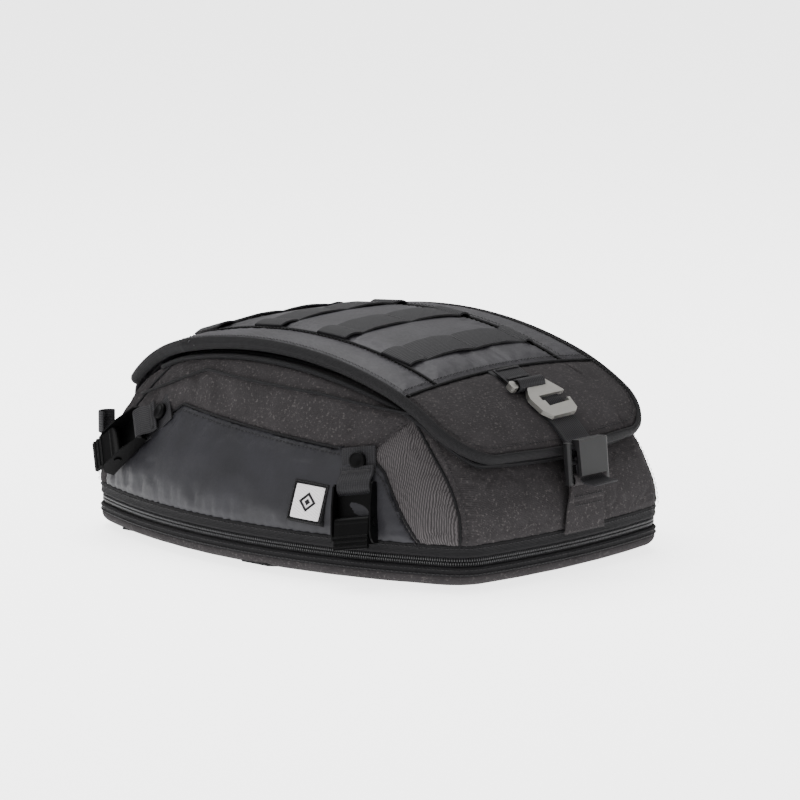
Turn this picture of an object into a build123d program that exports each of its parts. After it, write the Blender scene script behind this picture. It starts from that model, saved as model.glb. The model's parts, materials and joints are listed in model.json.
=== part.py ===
from build123d import *
import math
import os

# Tail bag for a motorcycle seat. Sizes are in mm. X runs across the bag, Y from
# its closure end (-) to its hinge end (+), and Z is up from the surface it
# stands on. "Left" is the -X side and "right" the +X side.

# ---------------------------------------------------------------- main sizes
BASE_LENGTH = 360.0
BASE_WIDTH = 276.0
FLAP_TOP_Z = 151.5

# ------------------------------------------------------------- plan of the bag
SIDE_ARC_R = 380.0
END_ARC_R = 500.0
CORNER_R = 25.0
CORNER_GROWTH = 0.3

# ------------------------------------------------------------ levels and base
PAD_T = 2.0
PAD_INSET = 44.0
BOTTOM_T = 4.0
BOTTOM_FLAT_INSET = 30.0
BOTTOM_RIM_INSET = 0.6
BAND_H = 11.0
UPPER_BAND_H = 7.0
CHAIN_H = 7.0
CHAIN_GAP = 0.5
CHAIN_INSET = 1.5
CHAIN_T = 2.5
BAND_T = 3.0
BOARD_T = 2.0
BOARD_INSET = 9.0
GUSSET_INSET = 6.0
GUSSET_T = 0.8
UNDER_TAB_W = 25.0
UNDER_TAB_T = 1.6
UNDER_TAB_Y = (-15.0, 118.0)

# --------------------------------------------------------------- walls, dome
WALL_T = 4.0
WALL_PROFILE = (
    (0.0, 0.0),
    (0.167, 2.0),
    (0.333, 8.0),
    (0.539, 18.0),
    (0.706, 25.0),
    (0.882, 33.0),
    (1.0, 41.0),
    (1.25, 58.0),
)
WALL_TOP_DROP = 18.5
DOME_DEPTH = 12.0
CROSS_CROWN_R = 740.0
CROWN_R_SHARE = 0.986
FRONT_R_SHARE = 0.508
REAR_R_SHARE = 0.389
CROWN_Y_SHARE = 0.028
FRONT_TANGENT_DEG = 17.2
REAR_TANGENT_DEG = 12.2
LID_SIDE_INSET = 48.0
LID_END_INSET = 32.0
LID_SIDE_R = 350.0
LID_END_R = 450.0
LID_CORNER_R = 40.0
LID_GAP = 0.5
LID_HINGE_GAP = 5.0

# ---------------------------------------------------------------------- flap
FLAP_T = 4.0
FLAP_SIDE_INSET = 44.0
FLAP_FRONT_Y_SHARE = 0.4890
FLAP_HINGE_Y_SHARE = 0.4370
FLAP_TAPER = 16.0
FLAP_TAPER_Y_SHARE = 0.25
FLAP_FRONT_SWEEP = 9.0
FLAP_FRONT_R = 30.0
FLAP_FRONT_ARC_SHARE = 4.0425532
FLAP_HINGE_GAP = 0.4
BINDING_DEPTH = 8.5
BINDING_PROUD = 0.8
BINDING_W = 3.0
SEAM_X_SHARE = 0.2264493
CROSS_SEAM_Y = -112.0
MOLLE_PITCH = 58.0
MOLLE_FIRST_Y = -75.0
MOLLE_COUNT = 4
WEBBING_W = 25.0
WEBBING_T = 2.0
HINGE_STRIP_HALF = 70.0
HINGE_STRIP_T = 2.2
HINGE_STRIP_DROP = 10.0
HINGE_STRIP_H = 30.0

# --------------------------------------------------------- side panel cutting
LEATHER_TOP_FRONT = (-93.0, 85.0)
LEATHER_TOP_REAR = (78.0, 97.0)
LEATHER_REAR = (154.0, 42.0)
LEATHER_FRONT_MID = (-108.0, 74.0)
LEATHER_FRONT_LOW = (-143.0, 24.0)
WEDGE_TOP = (-115.0, 108.0)
CORNER_SEAM_LOW_X = 99.0
CORNER_SEAM_HIGH_X = 91.0
CORNER_SEAM_LOW_Z = 31.0
CORNER_SEAM_HIGH_Z = 108.0

# --------------------------------------------------------------- cam buckles
SNAP_R = 6.0
SNAP_H = 2.0
BUCKLE_STANDOFF = 6.5
SNAP_TO_BAR = 18.0
BUCKLE_LEN = 38.0
BUCKLE_HALF_IN = 13.3
BUCKLE_WALL_T = 1.2
BUCKLE_BACK_T = 1.2
BUCKLE_BACK_C = -2.0
BAR_R = 2.0
BAR_CLEARANCE = 0.4
LOOP_T = 1.8
PIN_B = -24.0
PIN_C = 4.0
PIN_R = 1.6
PIN_HEAD_R = 2.6
PIN_HEAD_T = 1.2
CAM_R = 4.3
CAM_CLEARANCE = 0.35
CAM_HALF = 12.4
CAM_TIP_B = -42.0
# name, side sign, snap (Y, Z), lower end (Y, Z)
BUCKLES = (
    ("fl", -1, (-88.0, 80.0), (-101.0, 27.0)),
    ("fr", 1, (-88.0, 80.0), (-101.0, 27.0)),
    ("rl", -1, (98.0, 88.0), (138.0, 50.0)),
    ("rr", 1, (98.0, 88.0), (138.0, 50.0)),
)

# ------------------------------------------------------------------- closure
HOOK_X = 5.0
HOOK_Y = -147.0
HOOK_STANDOFF = 5.0
HOOK_T = 3.4
HOOK_BAR_B = 15.5
HOOK_BAR_W = 4.0
HOOK_LOOP_IN_R = 3.0
HOOK_LOOP_T = 1.4
UPPER_STRAP_X = -1.0
LOCK_X = 5.0
LOCK_Y = -181.0
LOCK_Z = 76.0
LOCK_TILT_DEG = 5.0
LOCK_HALF_W = 20.0
LOCK_RAIL_W = 4.0
LOCK_HALF_H = 14.0
LOCK_T = 5.0
LOCK_BAR_B = 11.0
LOCK_THUMB_HALF = 13.0
ANCHOR_HALF_W = 15.5
ANCHOR_T = 1.6

# -------------------------------------------------------------- small things
PATCH_Y = -60.0
PATCH_Z = 51.0
PATCH_SIZE = 28.0
PATCH_PLATE = 24.0
PATCH_T = 1.4
PATCH_PLATE_T = 0.9
REAR_LOOP_X = 92.0
REAR_LOOP_Z = 62.0
REAR_LOOP_H = 20.0
REAR_LOOP_OUT = 8.0
SLIDER_W = 11.0
SLIDER_H = 10.0
SLIDER_T = 4.0
SLIDER_CLEARANCE = 0.4
PULLER_L = 17.0
PULLER_W = 6.0
PULLER_T = 1.6

# ------------------------------------------------------------ derived levels
HALF_L = BASE_LENGTH / 2
HALF_W = BASE_WIDTH / 2
BOTTOM_Z = PAD_T
BAND_Z = BOTTOM_Z + BOTTOM_T
CHAIN_Z = BAND_Z + BAND_H
UPPER_BAND_Z = CHAIN_Z + CHAIN_H
WALL_Z = UPPER_BAND_Z + UPPER_BAND_H
WALL_TOP_Z = FLAP_TOP_Z - WALL_TOP_DROP
CROWN_R = CROWN_R_SHARE * BASE_LENGTH
FRONT_R = FRONT_R_SHARE * BASE_LENGTH
REAR_R = REAR_R_SHARE * BASE_LENGTH
CROWN_Y = CROWN_Y_SHARE * BASE_LENGTH
FLAP_HALF_W = HALF_W - FLAP_SIDE_INSET
FLAP_FRONT_ARC_R = round(FLAP_FRONT_ARC_SHARE * FLAP_HALF_W, 2)
SEAM_X = round(SEAM_X_SHARE * BASE_WIDTH, 2)
FLAP_FRONT_Y = -FLAP_FRONT_Y_SHARE * BASE_LENGTH
HINGE_Y = FLAP_HINGE_Y_SHARE * BASE_LENGTH
LENGTH_SHIFT = HALF_L - 180.0
FAR = 400.0

os.makedirs("parts", exist_ok=True)


def save(shape, name):
    """Write one node as its own STEP file."""
    solids = shape.solids()
    biggest = max(solids, key=lambda s: s.volume)
    export_step(biggest, f"parts/{name}.step")
    print(f"{name}: {len(solids)} solid(s), {biggest.volume:.0f} mm3")
    return biggest


# ------------------------------------------------------------------ outlines
def corner_centre(side_r, end_r, half_w, half_l, corner_r):
    """Centre of the corner fillet between a side arc and an end arc."""
    cx = half_w - side_r
    cy = half_l - end_r
    ra = side_r - corner_r
    rb = end_r - corner_r
    gap = math.hypot(cx, cy)
    along = (ra * ra - rb * rb + gap * gap) / (2 * gap)
    across = math.sqrt(ra * ra - along * along)
    ux = -cx / gap
    uy = cy / gap
    return cx + along * ux - across * uy, along * uy + across * ux


def arc_outline(side_r, end_r, half_w, half_l, corner_r, z):
    """Closed plan outline of two side arcs, two end arcs and four fillets."""
    fx, fy = corner_centre(side_r, end_r, half_w, half_l, corner_r)
    cx = half_w - side_r
    cy = half_l - end_r
    side_len = math.hypot(fx - cx, fy)
    end_len = math.hypot(fx, fy - cy)
    sx, sy = (fx - cx) / side_len, fy / side_len
    ex, ey = fx / end_len, (fy - cy) / end_len
    side_pt = (fx + corner_r * sx, fy + corner_r * sy)
    end_pt = (fx + corner_r * ex, fy + corner_r * ey)
    mid_len = math.hypot(sx + ex, sy + ey)
    mid_pt = (fx + corner_r * (sx + ex) / mid_len, fy + corner_r * (sy + ey) / mid_len)

    def at(point, mx, my):
        return Vector(point[0] * mx, point[1] * my, z)

    edges = [Edge.make_three_point_arc(at(side_pt, 1, -1), Vector(half_w, 0, z), at(side_pt, 1, 1))]
    edges.append(Edge.make_three_point_arc(at(side_pt, 1, 1), at(mid_pt, 1, 1), at(end_pt, 1, 1)))
    edges.append(Edge.make_three_point_arc(at(end_pt, 1, 1), Vector(0, half_l, z), at(end_pt, -1, 1)))
    edges.append(Edge.make_three_point_arc(at(end_pt, -1, 1), at(mid_pt, -1, 1), at(side_pt, -1, 1)))
    edges.append(Edge.make_three_point_arc(at(side_pt, -1, 1), Vector(-half_w, 0, z), at(side_pt, -1, -1)))
    edges.append(Edge.make_three_point_arc(at(side_pt, -1, -1), at(mid_pt, -1, -1), at(end_pt, -1, -1)))
    edges.append(Edge.make_three_point_arc(at(end_pt, -1, -1), Vector(0, -half_l, z), at(end_pt, 1, -1)))
    edges.append(Edge.make_three_point_arc(at(end_pt, 1, -1), at(mid_pt, 1, -1), at(side_pt, 1, -1)))
    return Face(Wire(edges))


def bag_outline(inset, z, depth=0.0):
    """Plan outline of the bag, inset from its widest line and moved in by depth."""
    corner = CORNER_R + CORNER_GROWTH * inset - depth
    step = inset + depth
    return arc_outline(SIDE_ARC_R - step, END_ARC_R - step, HALF_W - step, HALF_L - step, corner, z)


def plate(inset, z0, z1):
    return extrude(bag_outline(inset, z0), amount=z1 - z0, dir=(0, 0, 1))


def ring(inset, thickness, z0, z1):
    outer = plate(inset, z0, z1)
    inner = extrude(bag_outline(inset, z0 - 1, thickness), amount=z1 - z0 + 2, dir=(0, 0, 1))
    return outer - inner


# ------------------------------------------------------------- arch and walls
def arch_centres():
    """Centres of the crown, front and rear arcs of the flap's long profile."""
    zc = FLAP_TOP_Z - CROWN_R
    af = math.radians(FRONT_TANGENT_DEG)
    ar = math.radians(REAR_TANGENT_DEG)
    front_y = CROWN_Y - (CROWN_R - FRONT_R) * math.sin(af)
    front_z = zc + (CROWN_R - FRONT_R) * math.cos(af)
    rear_y = CROWN_Y + (CROWN_R - REAR_R) * math.sin(ar)
    rear_z = zc + (CROWN_R - REAR_R) * math.cos(ar)
    return (CROWN_Y, zc), (front_y, front_z), (rear_y, rear_z)


def arch_z(y, depth=0.0):
    """Height of the arch on the centre line, `depth` inside the flap's top."""
    crown, front, rear = arch_centres()
    if y < crown[0] - (CROWN_R - depth) * math.sin(math.radians(FRONT_TANGENT_DEG)):
        centre, radius = front, FRONT_R - depth
    elif y > crown[0] + (CROWN_R - depth) * math.sin(math.radians(REAR_TANGENT_DEG)):
        centre, radius = rear, REAR_R - depth
    else:
        centre, radius = crown, CROWN_R - depth
    return centre[1] + math.sqrt(radius * radius - (y - centre[0]) ** 2)


def arch_solid(depth):
    """Everything under the arched surface that lies `depth` inside the flap's top."""
    crown, front, rear = arch_centres()
    low = BAND_Z + BAND_H
    rc, rf, rr = CROWN_R - depth, FRONT_R - depth, REAR_R - depth
    af, ar = math.radians(FRONT_TANGENT_DEG), math.radians(REAR_TANGENT_DEG)
    bf = math.acos((low - front[1]) / rf)
    br = math.acos((low - rear[1]) / rr)

    def on(centre, radius, angle):
        return Vector(0, centre[0] + radius * math.sin(angle), centre[1] + radius * math.cos(angle))

    p0 = on(front, rf, -bf)
    p1 = on(crown, rc, -af)
    p2 = on(crown, rc, ar)
    p3 = on(rear, rr, br)
    edges = [Edge.make_three_point_arc(p0, on(front, rf, -(af + bf) / 2), p1)]
    edges.append(Edge.make_three_point_arc(p1, on(crown, rc, (ar - af) / 2), p2))
    edges.append(Edge.make_three_point_arc(p2, on(rear, rr, (ar + br) / 2), p3))
    edges.append(Edge.make_line(p3, p0))
    axis = Axis((0, 0, FLAP_TOP_Z - CROSS_CROWN_R), (0, 1, 0))
    profile = Face(Wire(edges)).rotate(axis, -22)
    return revolve(profile, axis=axis, revolution_arc=44)


def wall_inset(z):
    """Inward lean of the wall's outer face at height z."""
    share = (z - WALL_Z) / (WALL_TOP_Z - WALL_Z)
    for (s0, i0), (s1, i1) in zip(WALL_PROFILE, WALL_PROFILE[1:]):
        if share <= s1:
            return i0 + (i1 - i0) * max(0.0, share - s0) / (s1 - s0)
    return WALL_PROFILE[-1][1]


def wall_solid(depth, below=0.0):
    """Solid inside the walls, `depth` in from their outer face."""
    faces = []
    for share, inset in WALL_PROFILE:
        z = WALL_Z + share * (WALL_TOP_Z - WALL_Z)
        faces.append(bag_outline(inset, z, depth))
    solid = loft(faces)
    if below > 0:
        solid += extrude(bag_outline(0, WALL_Z - below, depth), amount=below, dir=(0, 0, 1))
    return solid


def wall_point(sign, y, z):
    """Point on a long side's outer face."""
    radius = SIDE_ARC_R - wall_inset(z)
    x = math.sqrt(radius * radius - y * y) - (SIDE_ARC_R - HALF_W)
    return Vector(sign * x, y, z)


def wall_normal(sign, y, z):
    across = wall_point(sign, y + 2, z) - wall_point(sign, y - 2, z)
    along = wall_point(sign, y, z + 2) - wall_point(sign, y, z - 2)
    normal = across.cross(along).normalized()
    return normal * (sign if normal.X > 0 else -sign)


# --------------------------------------------------------------------- prisms
def yz_prism(points, x0, x1):
    outline = Polyline(*[(x0, y, z) for y, z in points], close=True)
    return extrude(Face(Wire(outline.edges())), amount=x1 - x0, dir=(1, 0, 0))


def xz_prism(points, y0, y1):
    outline = Polyline(*[(x, y0, z) for x, z in points], close=True)
    return extrude(Face(Wire(outline.edges())), amount=y1 - y0, dir=(0, 1, 0))


def block(x0, x1, y0, y1, z0, z1):
    return Pos((x0 + x1) / 2, (y0 + y1) / 2, (z0 + z1) / 2) * Box(x1 - x0, y1 - y0, z1 - z0)


def ribbon_outline(path, thickness):
    """Outline of a strip of even thickness along an open two-axis path."""
    left, right = [], []
    for i, (u, v) in enumerate(path):
        u0, v0 = path[max(i - 1, 0)]
        u1, v1 = path[min(i + 1, len(path) - 1)]
        size = math.hypot(u1 - u0, v1 - v0)
        nu, nv = -(v1 - v0) / size, (u1 - u0) / size
        left.append((u + nu * thickness / 2, v + nv * thickness / 2))
        right.append((u - nu * thickness / 2, v - nv * thickness / 2))
    return left + right[::-1]


def ribbon(path, thickness, x0, x1):
    return yz_prism(ribbon_outline(path, thickness), x0, x1)


def x_rod(radius, x0, x1, y, z):
    return Pos((x0 + x1) / 2, y, z) * Rot(0, 90, 0) * Cylinder(radius, x1 - x0)


def local_prism(points, a0, a1):
    """Prism from (b, c) points, run along the local X axis."""
    return yz_prism(points, a0, a1)


# ------------------------------------------------------------------ the base
antislip_pad = plate(PAD_INSET, 0, PAD_T)
save(antislip_pad, "antislip_pad")

bottom_faces = [bag_outline(BOTTOM_FLAT_INSET, BOTTOM_Z), bag_outline(BOTTOM_RIM_INSET, BAND_Z)]
save(loft(bottom_faces, ruled=True), "bottom_panel")
save(plate(BOARD_INSET, BAND_Z, BAND_Z + BOARD_T), "base_board")
save(ring(0, BAND_T, BAND_Z, CHAIN_Z), "lower_band")
chain_mid = CHAIN_Z + CHAIN_H / 2
save(ring(CHAIN_INSET, CHAIN_T, CHAIN_Z, chain_mid - CHAIN_GAP / 2), "zipper_lower_half")
save(ring(CHAIN_INSET, CHAIN_T, chain_mid + CHAIN_GAP / 2, UPPER_BAND_Z), "zipper_upper_half")
save(ring(0, BAND_T, UPPER_BAND_Z, WALL_Z), "upper_band")
save(ring(GUSSET_INSET, GUSSET_T, CHAIN_Z, UPPER_BAND_Z), "expansion_gusset")

for end, tab_y in zip(("front", "rear"), UNDER_TAB_Y):
    for side, sign in (("left", -1), ("right", 1)):
        rim_x = math.sqrt(SIDE_ARC_R ** 2 - (abs(tab_y) + UNDER_TAB_W / 2) ** 2) - (SIDE_ARC_R - HALF_W)
        slope = BOTTOM_T / (BOTTOM_FLAT_INSET - BOTTOM_RIM_INSET)
        x_in = rim_x - BOTTOM_FLAT_INSET + 3
        x_out = rim_x - 2
        z_in = BOTTOM_Z + slope * 3
        z_out = BAND_Z - slope * 1.4
        points = [(sign * x_in, z_in + 3), (sign * x_out, z_out + 3)]
        points += [(sign * x_out, z_out - UNDER_TAB_T), (sign * x_in, z_in - UNDER_TAB_T)]
        tab = xz_prism(points, tab_y - UNDER_TAB_W / 2, tab_y + UNDER_TAB_W / 2)
        tab -= loft(bottom_faces, ruled=True)
        tab -= plate(0, BAND_Z, BAND_Z + 20)
        save(tab, f"under_tab_{end}_{side}")

# ----------------------------------------------------------- walls and panels
body_outer = wall_solid(0) & arch_solid(DOME_DEPTH)
dome_under = arch_solid(DOME_DEPTH + WALL_T)
walls = (body_outer & dome_under) - wall_solid(WALL_T, below=2)
cap = body_outer - dome_under

seam_slope = (CORNER_SEAM_HIGH_X - CORNER_SEAM_LOW_X) / (CORNER_SEAM_HIGH_Z - CORNER_SEAM_LOW_Z)


def corner_seam_x(z):
    shift = HALF_W - 138.0
    return CORNER_SEAM_LOW_X + shift + seam_slope * (z - CORNER_SEAM_LOW_Z)


end_points = [(-corner_seam_x(20), 20), (corner_seam_x(20), 20)]
end_points += [(corner_seam_x(200), 200), (-corner_seam_x(200), 200)]
front_zone = xz_prism(end_points, -FAR, -HALF_L / 2)
rear_zone = xz_prism(end_points, HALF_L / 2, FAR)
save(walls & front_zone, "front_panel")
save(walls & rear_zone, "rear_panel")


def scaled(point):
    """Move a side-panel point with the bag's length."""
    return point[0] * HALF_L / 180.0, point[1]


leather_points = [scaled(LEATHER_TOP_FRONT), scaled(LEATHER_TOP_REAR), scaled(LEATHER_REAR)]
leather_points += [(scaled(LEATHER_REAR)[0], 10), (scaled(LEATHER_FRONT_LOW)[0] - 9, 10)]
leather_points += [scaled(LEATHER_FRONT_LOW), scaled(LEATHER_FRONT_MID)]
top_y, top_z = scaled(LEATHER_TOP_FRONT)
wedge_y, wedge_z = scaled(WEDGE_TOP)
reach = 4.0
wedge_points = [(top_y, top_z), (top_y + reach * (wedge_y - top_y), top_z + reach * (wedge_z - top_z))]
wedge_points += [(-FAR, 200), (-FAR, 10), (scaled(LEATHER_FRONT_LOW)[0] - 9, 10)]
wedge_points += [scaled(LEATHER_FRONT_LOW), scaled(LEATHER_FRONT_MID)]

for side, sign in (("left", -1), ("right", 1)):
    x0, x1 = sorted((sign * 30, sign * 200))
    half = (walls & block(x0, x1, -FAR, FAR, 0, 220)) - front_zone - rear_zone
    leather_zone = yz_prism(leather_points, x0, x1)
    wedge_zone = yz_prism(wedge_points, x0, x1)
    save(half & leather_zone, f"side_panel_{side}")
    save(half & wedge_zone, f"corner_panel_{side}")
    save(half - leather_zone - wedge_zone, f"shoulder_panel_{side}")


def lid_zone(grow):
    face = arc_outline(
        LID_SIDE_R + grow,
        LID_END_R + grow,
        HALF_W - LID_SIDE_INSET + grow,
        HALF_L - LID_END_INSET + grow,
        LID_CORNER_R + grow,
        WALL_Z,
    )
    return extrude(face, amount=200, dir=(0, 0, 1))


save(cap - lid_zone(0), "opening_rim")
lid_shape = lid_zone(-LID_GAP)
save(cap & lid_shape & (Pos(0, -LID_HINGE_GAP, 0) * lid_shape), "inner_lid")

hinge_z = arch_z(HINGE_Y)
strip = wall_solid(-HINGE_STRIP_T) - wall_solid(0)
strip_top = hinge_z - HINGE_STRIP_DROP
strip = strip & block(-HINGE_STRIP_HALF, HINGE_STRIP_HALF, 0, FAR, strip_top - HINGE_STRIP_H, strip_top)
save(strip, "hinge_strip")

# ---------------------------------------------------------------------- flap
front_corner_y = FLAP_FRONT_Y + FLAP_FRONT_SWEEP
taper_y = FLAP_TAPER_Y_SHARE * BASE_LENGTH


def flap_zone(inset):
    half = FLAP_HALF_W - inset
    end = HINGE_Y - FLAP_HINGE_GAP
    points = [(half - FLAP_TAPER, end), (half, taper_y), (half + 2, front_corner_y + inset)]
    points += [(0, FLAP_FRONT_Y + inset - 1)]
    points += [(-half - 2, front_corner_y + inset), (-half, taper_y), (-half + FLAP_TAPER, end)]
    radii = [4, 120, FLAP_FRONT_R - inset, FLAP_FRONT_ARC_R, FLAP_FRONT_R - inset, 120, 4]
    wire = FilletPolyline(*points, radius=radii, close=True)
    return extrude(Face(Wire(wire.edges())), amount=220, dir=(0, 0, 1))


flap_layer = (arch_solid(0) - arch_solid(FLAP_T)) & flap_zone(BINDING_W)
binding_layer = arch_solid(-BINDING_PROUD) - arch_solid(BINDING_DEPTH)
binding = (binding_layer & flap_zone(0)) - flap_zone(BINDING_W)
rear_cut_y = HINGE_Y - 6
binding -= block(-FAR, FAR, rear_cut_y, FAR, 0, 220)
save(binding, "flap_binding")

cross_y = CROSS_SEAM_Y * HALF_L / 180.0
save(flap_layer & block(-FAR, FAR, -FAR, cross_y, 0, 220), "flap_front_panel")
top_part = flap_layer & block(-FAR, FAR, cross_y, FAR, 0, 220)
save(top_part & block(-SEAM_X, SEAM_X, -FAR, FAR, 0, 220), "flap_middle_panel")
save(top_part & block(-FAR, -SEAM_X, -FAR, FAR, 0, 220), "flap_side_left")
save(top_part & block(SEAM_X, FAR, -FAR, FAR, 0, 220), "flap_side_right")

webbing_layer = arch_solid(-WEBBING_T) - arch_solid(0)
for i in range(MOLLE_COUNT):
    y = (MOLLE_FIRST_Y + i * MOLLE_PITCH) * HALF_L / 180.0
    strip_zone = block(-SEAM_X, SEAM_X, y - WEBBING_W / 2, y + WEBBING_W / 2, 0, 220)
    save(webbing_layer & strip_zone, f"molle_strip_{i + 1}")


# --------------------------------------------------------------- hook closure
def arch_frame(y, standoff, x=0.0):
    """Plane on the flap: local X across, local Y up the flap, local Z out."""
    crown, front, rear = arch_centres()
    direction = Vector(0, y - front[0], arch_z(y) - front[1]).normalized()
    origin = Vector(x, y, arch_z(y)) + direction * standoff
    return Plane(origin=origin, x_dir=(1, 0, 0), z_dir=direction)


hook_y = HOOK_Y * HALF_L / 180.0
hook_plane = arch_frame(hook_y, HOOK_STANDOFF, HOOK_X)
bar_lo = HOOK_BAR_B - HOOK_BAR_W / 2
bar_hi = HOOK_BAR_B + HOOK_BAR_W / 2
slot_lo = HOOK_BAR_B - HOOK_LOOP_IN_R - HOOK_LOOP_T - 0.5
plate_points = [(-19.3, bar_lo), (-19.3, bar_hi), (8.5, bar_hi), (17.5, 4.0), (17.5, 2.6)]
plate_points += [(-8.5, 2.0), (-8.5, -2.5), (-6.5, -2.5), (-6.5, -8.0), (14.6, -6.5), (14.6, -3.6)]
plate_points += [(17.5, -3.6), (15.8, -13.5), (12.0, -16.5), (-10.5, -17.3), (-16.3, -11.0)]
plate_points += [(-18.0, 1.0), (-16.0, 5.5), (-12.0, slot_lo), (7.0, slot_lo), (7.0, bar_lo)]
hook_wire = Polyline(*[(a, b, -HOOK_T / 2) for a, b in plate_points], close=True)
hook_plate = extrude(Face(Wire(hook_wire.edges())), amount=HOOK_T, dir=(0, 0, 1))
knob = Pos(-21.8, HOOK_BAR_B - 0.4, 0) * Box(6.0, 7.0, HOOK_T + 0.8)
knob = fillet(knob.edges().filter_by(Axis.Z), 2.4)
hook = hook_plate + knob
save(hook_plane.location * hook, "closure_hook")

bar_origin = hook_plane.from_local_coords(Vector(0, HOOK_BAR_B, 0))
loop_out_r = HOOK_LOOP_IN_R + HOOK_LOOP_T
x0, x1 = UPPER_STRAP_X - WEBBING_W / 2, UPPER_STRAP_X + WEBBING_W / 2
strap_ys = [cross_y - 0.3 - i * (cross_y - 0.3 - bar_origin.Y - 5.0) / 6 for i in range(7)]
strap_path = [(y, arch_z(y, -WEBBING_T / 2 - 0.3)) for y in strap_ys]
strap_path.append((bar_origin.Y + 2.6, bar_origin.Z - 2.6))
upper_strap = ribbon(strap_path, WEBBING_T, x0, x1) + x_rod(loop_out_r, x0, x1, bar_origin.Y, bar_origin.Z)
upper_strap -= x_rod(HOOK_LOOP_IN_R, x0 - 1, x1 + 1, bar_origin.Y, bar_origin.Z)
upper_strap -= arch_solid(0)
save(upper_strap, "closure_strap_upper")

# ---------------------------------------------------------- ladder lock, anchor
tilt = math.radians(LOCK_TILT_DEG)
lock_dir = Vector(0, -math.cos(tilt), math.sin(tilt))
lock_origin = Vector(LOCK_X, LOCK_Y - LENGTH_SHIFT, LOCK_Z)
lock_plane = Plane(origin=lock_origin, x_dir=(1, 0, 0), z_dir=lock_dir)
rail_in = LOCK_HALF_W - LOCK_RAIL_W
lock = None
for sign in (-1, 1):
    a0, a1 = sorted((sign * rail_in, sign * LOCK_HALF_W))
    rail = block(a0, a1, -LOCK_HALF_H, LOCK_HALF_H, 0, LOCK_T)
    rail = fillet(rail.edges().filter_by(Axis.Y), 1.4)
    lock = rail if lock is None else lock + rail
for b in (-LOCK_BAR_B, 0.5, LOCK_BAR_B):
    lock += x_rod(BAR_R, -rail_in - 1, rail_in + 1, b, LOCK_T / 2)
thumb = [(LOCK_BAR_B - 2.6, 2.0), (LOCK_BAR_B + 4.5, 2.5), (LOCK_BAR_B + 4.5, 8.6)]
thumb += [(-8.5, 9.6), (-8.5, 7.4), (LOCK_BAR_B - 2.6, 6.2)]
lock += yz_prism(thumb, -LOCK_THUMB_HALF, LOCK_THUMB_HALF)
save(lock_plane.location * lock, "ladder_lock")

lower_bar = lock_plane.from_local_coords(Vector(0, -LOCK_BAR_B, LOCK_T / 2))
x0, x1 = LOCK_X - ANCHOR_HALF_W, LOCK_X + ANCHOR_HALF_W
loop_in = BAR_R + BAR_CLEARANCE
loop_out = loop_in + LOOP_T
anchor_path = [(-HALF_L - 1.0, UPPER_BAND_Z + 1), (-HALF_L - 1.2, WALL_Z + 4)]
anchor_path += [(-HALF_L - 2.2, WALL_Z + 18), (lower_bar.Y + 0.6, lower_bar.Z - 3.4)]
anchor = ribbon(anchor_path, ANCHOR_T, x0, x1) + x_rod(loop_out, x0, x1, lower_bar.Y, lower_bar.Z)
anchor -= x_rod(loop_in, x0 - 1, x1 + 1, lower_bar.Y, lower_bar.Z)
anchor -= plate(0, UPPER_BAND_Z - 5, WALL_Z)
anchor -= body_outer
save(anchor, "closure_anchor")

x0, x1 = LOCK_X - WEBBING_W / 2, LOCK_X + WEBBING_W / 2
lower_ys = [hook_y - 6.0 - i * (hook_y - 6.0 - FLAP_FRONT_Y - 3.0) / 5 for i in range(6)]
lower_path = [(y, arch_z(y, -2.4)) for y in lower_ys]
lower_path.append((FLAP_FRONT_Y - 2.7, arch_z(FLAP_FRONT_Y)))
lock_low = lock_plane.from_local_coords(Vector(0, -LOCK_BAR_B + 6, -1.6))
lower_path.append((lock_low.Y + 0.3, LOCK_Z + 4.0))
lower_path.append((lock_low.Y, lock_low.Z))
save(ribbon(lower_path, WEBBING_T, x0, x1), "closure_strap_lower")


# --------------------------------------------------------------- cam buckles
def buckle_plane(sign, snap, end):
    """Plane at a buckle's bar: local X across, Y up the strap, Z out."""
    top = wall_point(sign, *scaled(snap))
    low = wall_point(sign, *scaled(end))
    down = (low - top).normalized()
    rough = wall_normal(sign, (scaled(snap)[0] + scaled(end)[0]) / 2, (snap[1] + end[1]) / 2)
    out = (rough - down * rough.dot(down)).normalized()
    across = (down * -1).cross(out)
    origin = top + down * SNAP_TO_BAR + out * BUCKLE_STANDOFF
    return Plane(origin=origin, x_dir=across, z_dir=out)


def buckle_frame():
    half = BUCKLE_HALF_IN + BUCKLE_WALL_T
    frame = block(-half, half, -BUCKLE_LEN, -5.0, BUCKLE_BACK_C, BUCKLE_BACK_C + BUCKLE_BACK_T)
    wall = [(2.8, BUCKLE_BACK_C), (2.8, 2.6), (1.0, 5.0), (-14.0, 8.4), (-31.0, 9.6), (-35.5, 8.4)]
    wall += [(-BUCKLE_LEN, 5.0), (-BUCKLE_LEN, BUCKLE_BACK_C)]
    for sign in (-1, 1):
        a0, a1 = sorted((sign * BUCKLE_HALF_IN, sign * half))
        frame += local_prism(wall, a0, a1)
        h0, h1 = sorted((sign * half, sign * (half + PIN_HEAD_T)))
        frame += x_rod(PIN_HEAD_R, h0, h1, PIN_B, PIN_C)
    frame += x_rod(BAR_R, -half + 0.2, half - 0.2, 0, 0)
    frame += x_rod(PIN_R, -half + 0.2, half - 0.2, PIN_B, PIN_C)
    return frame


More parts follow.
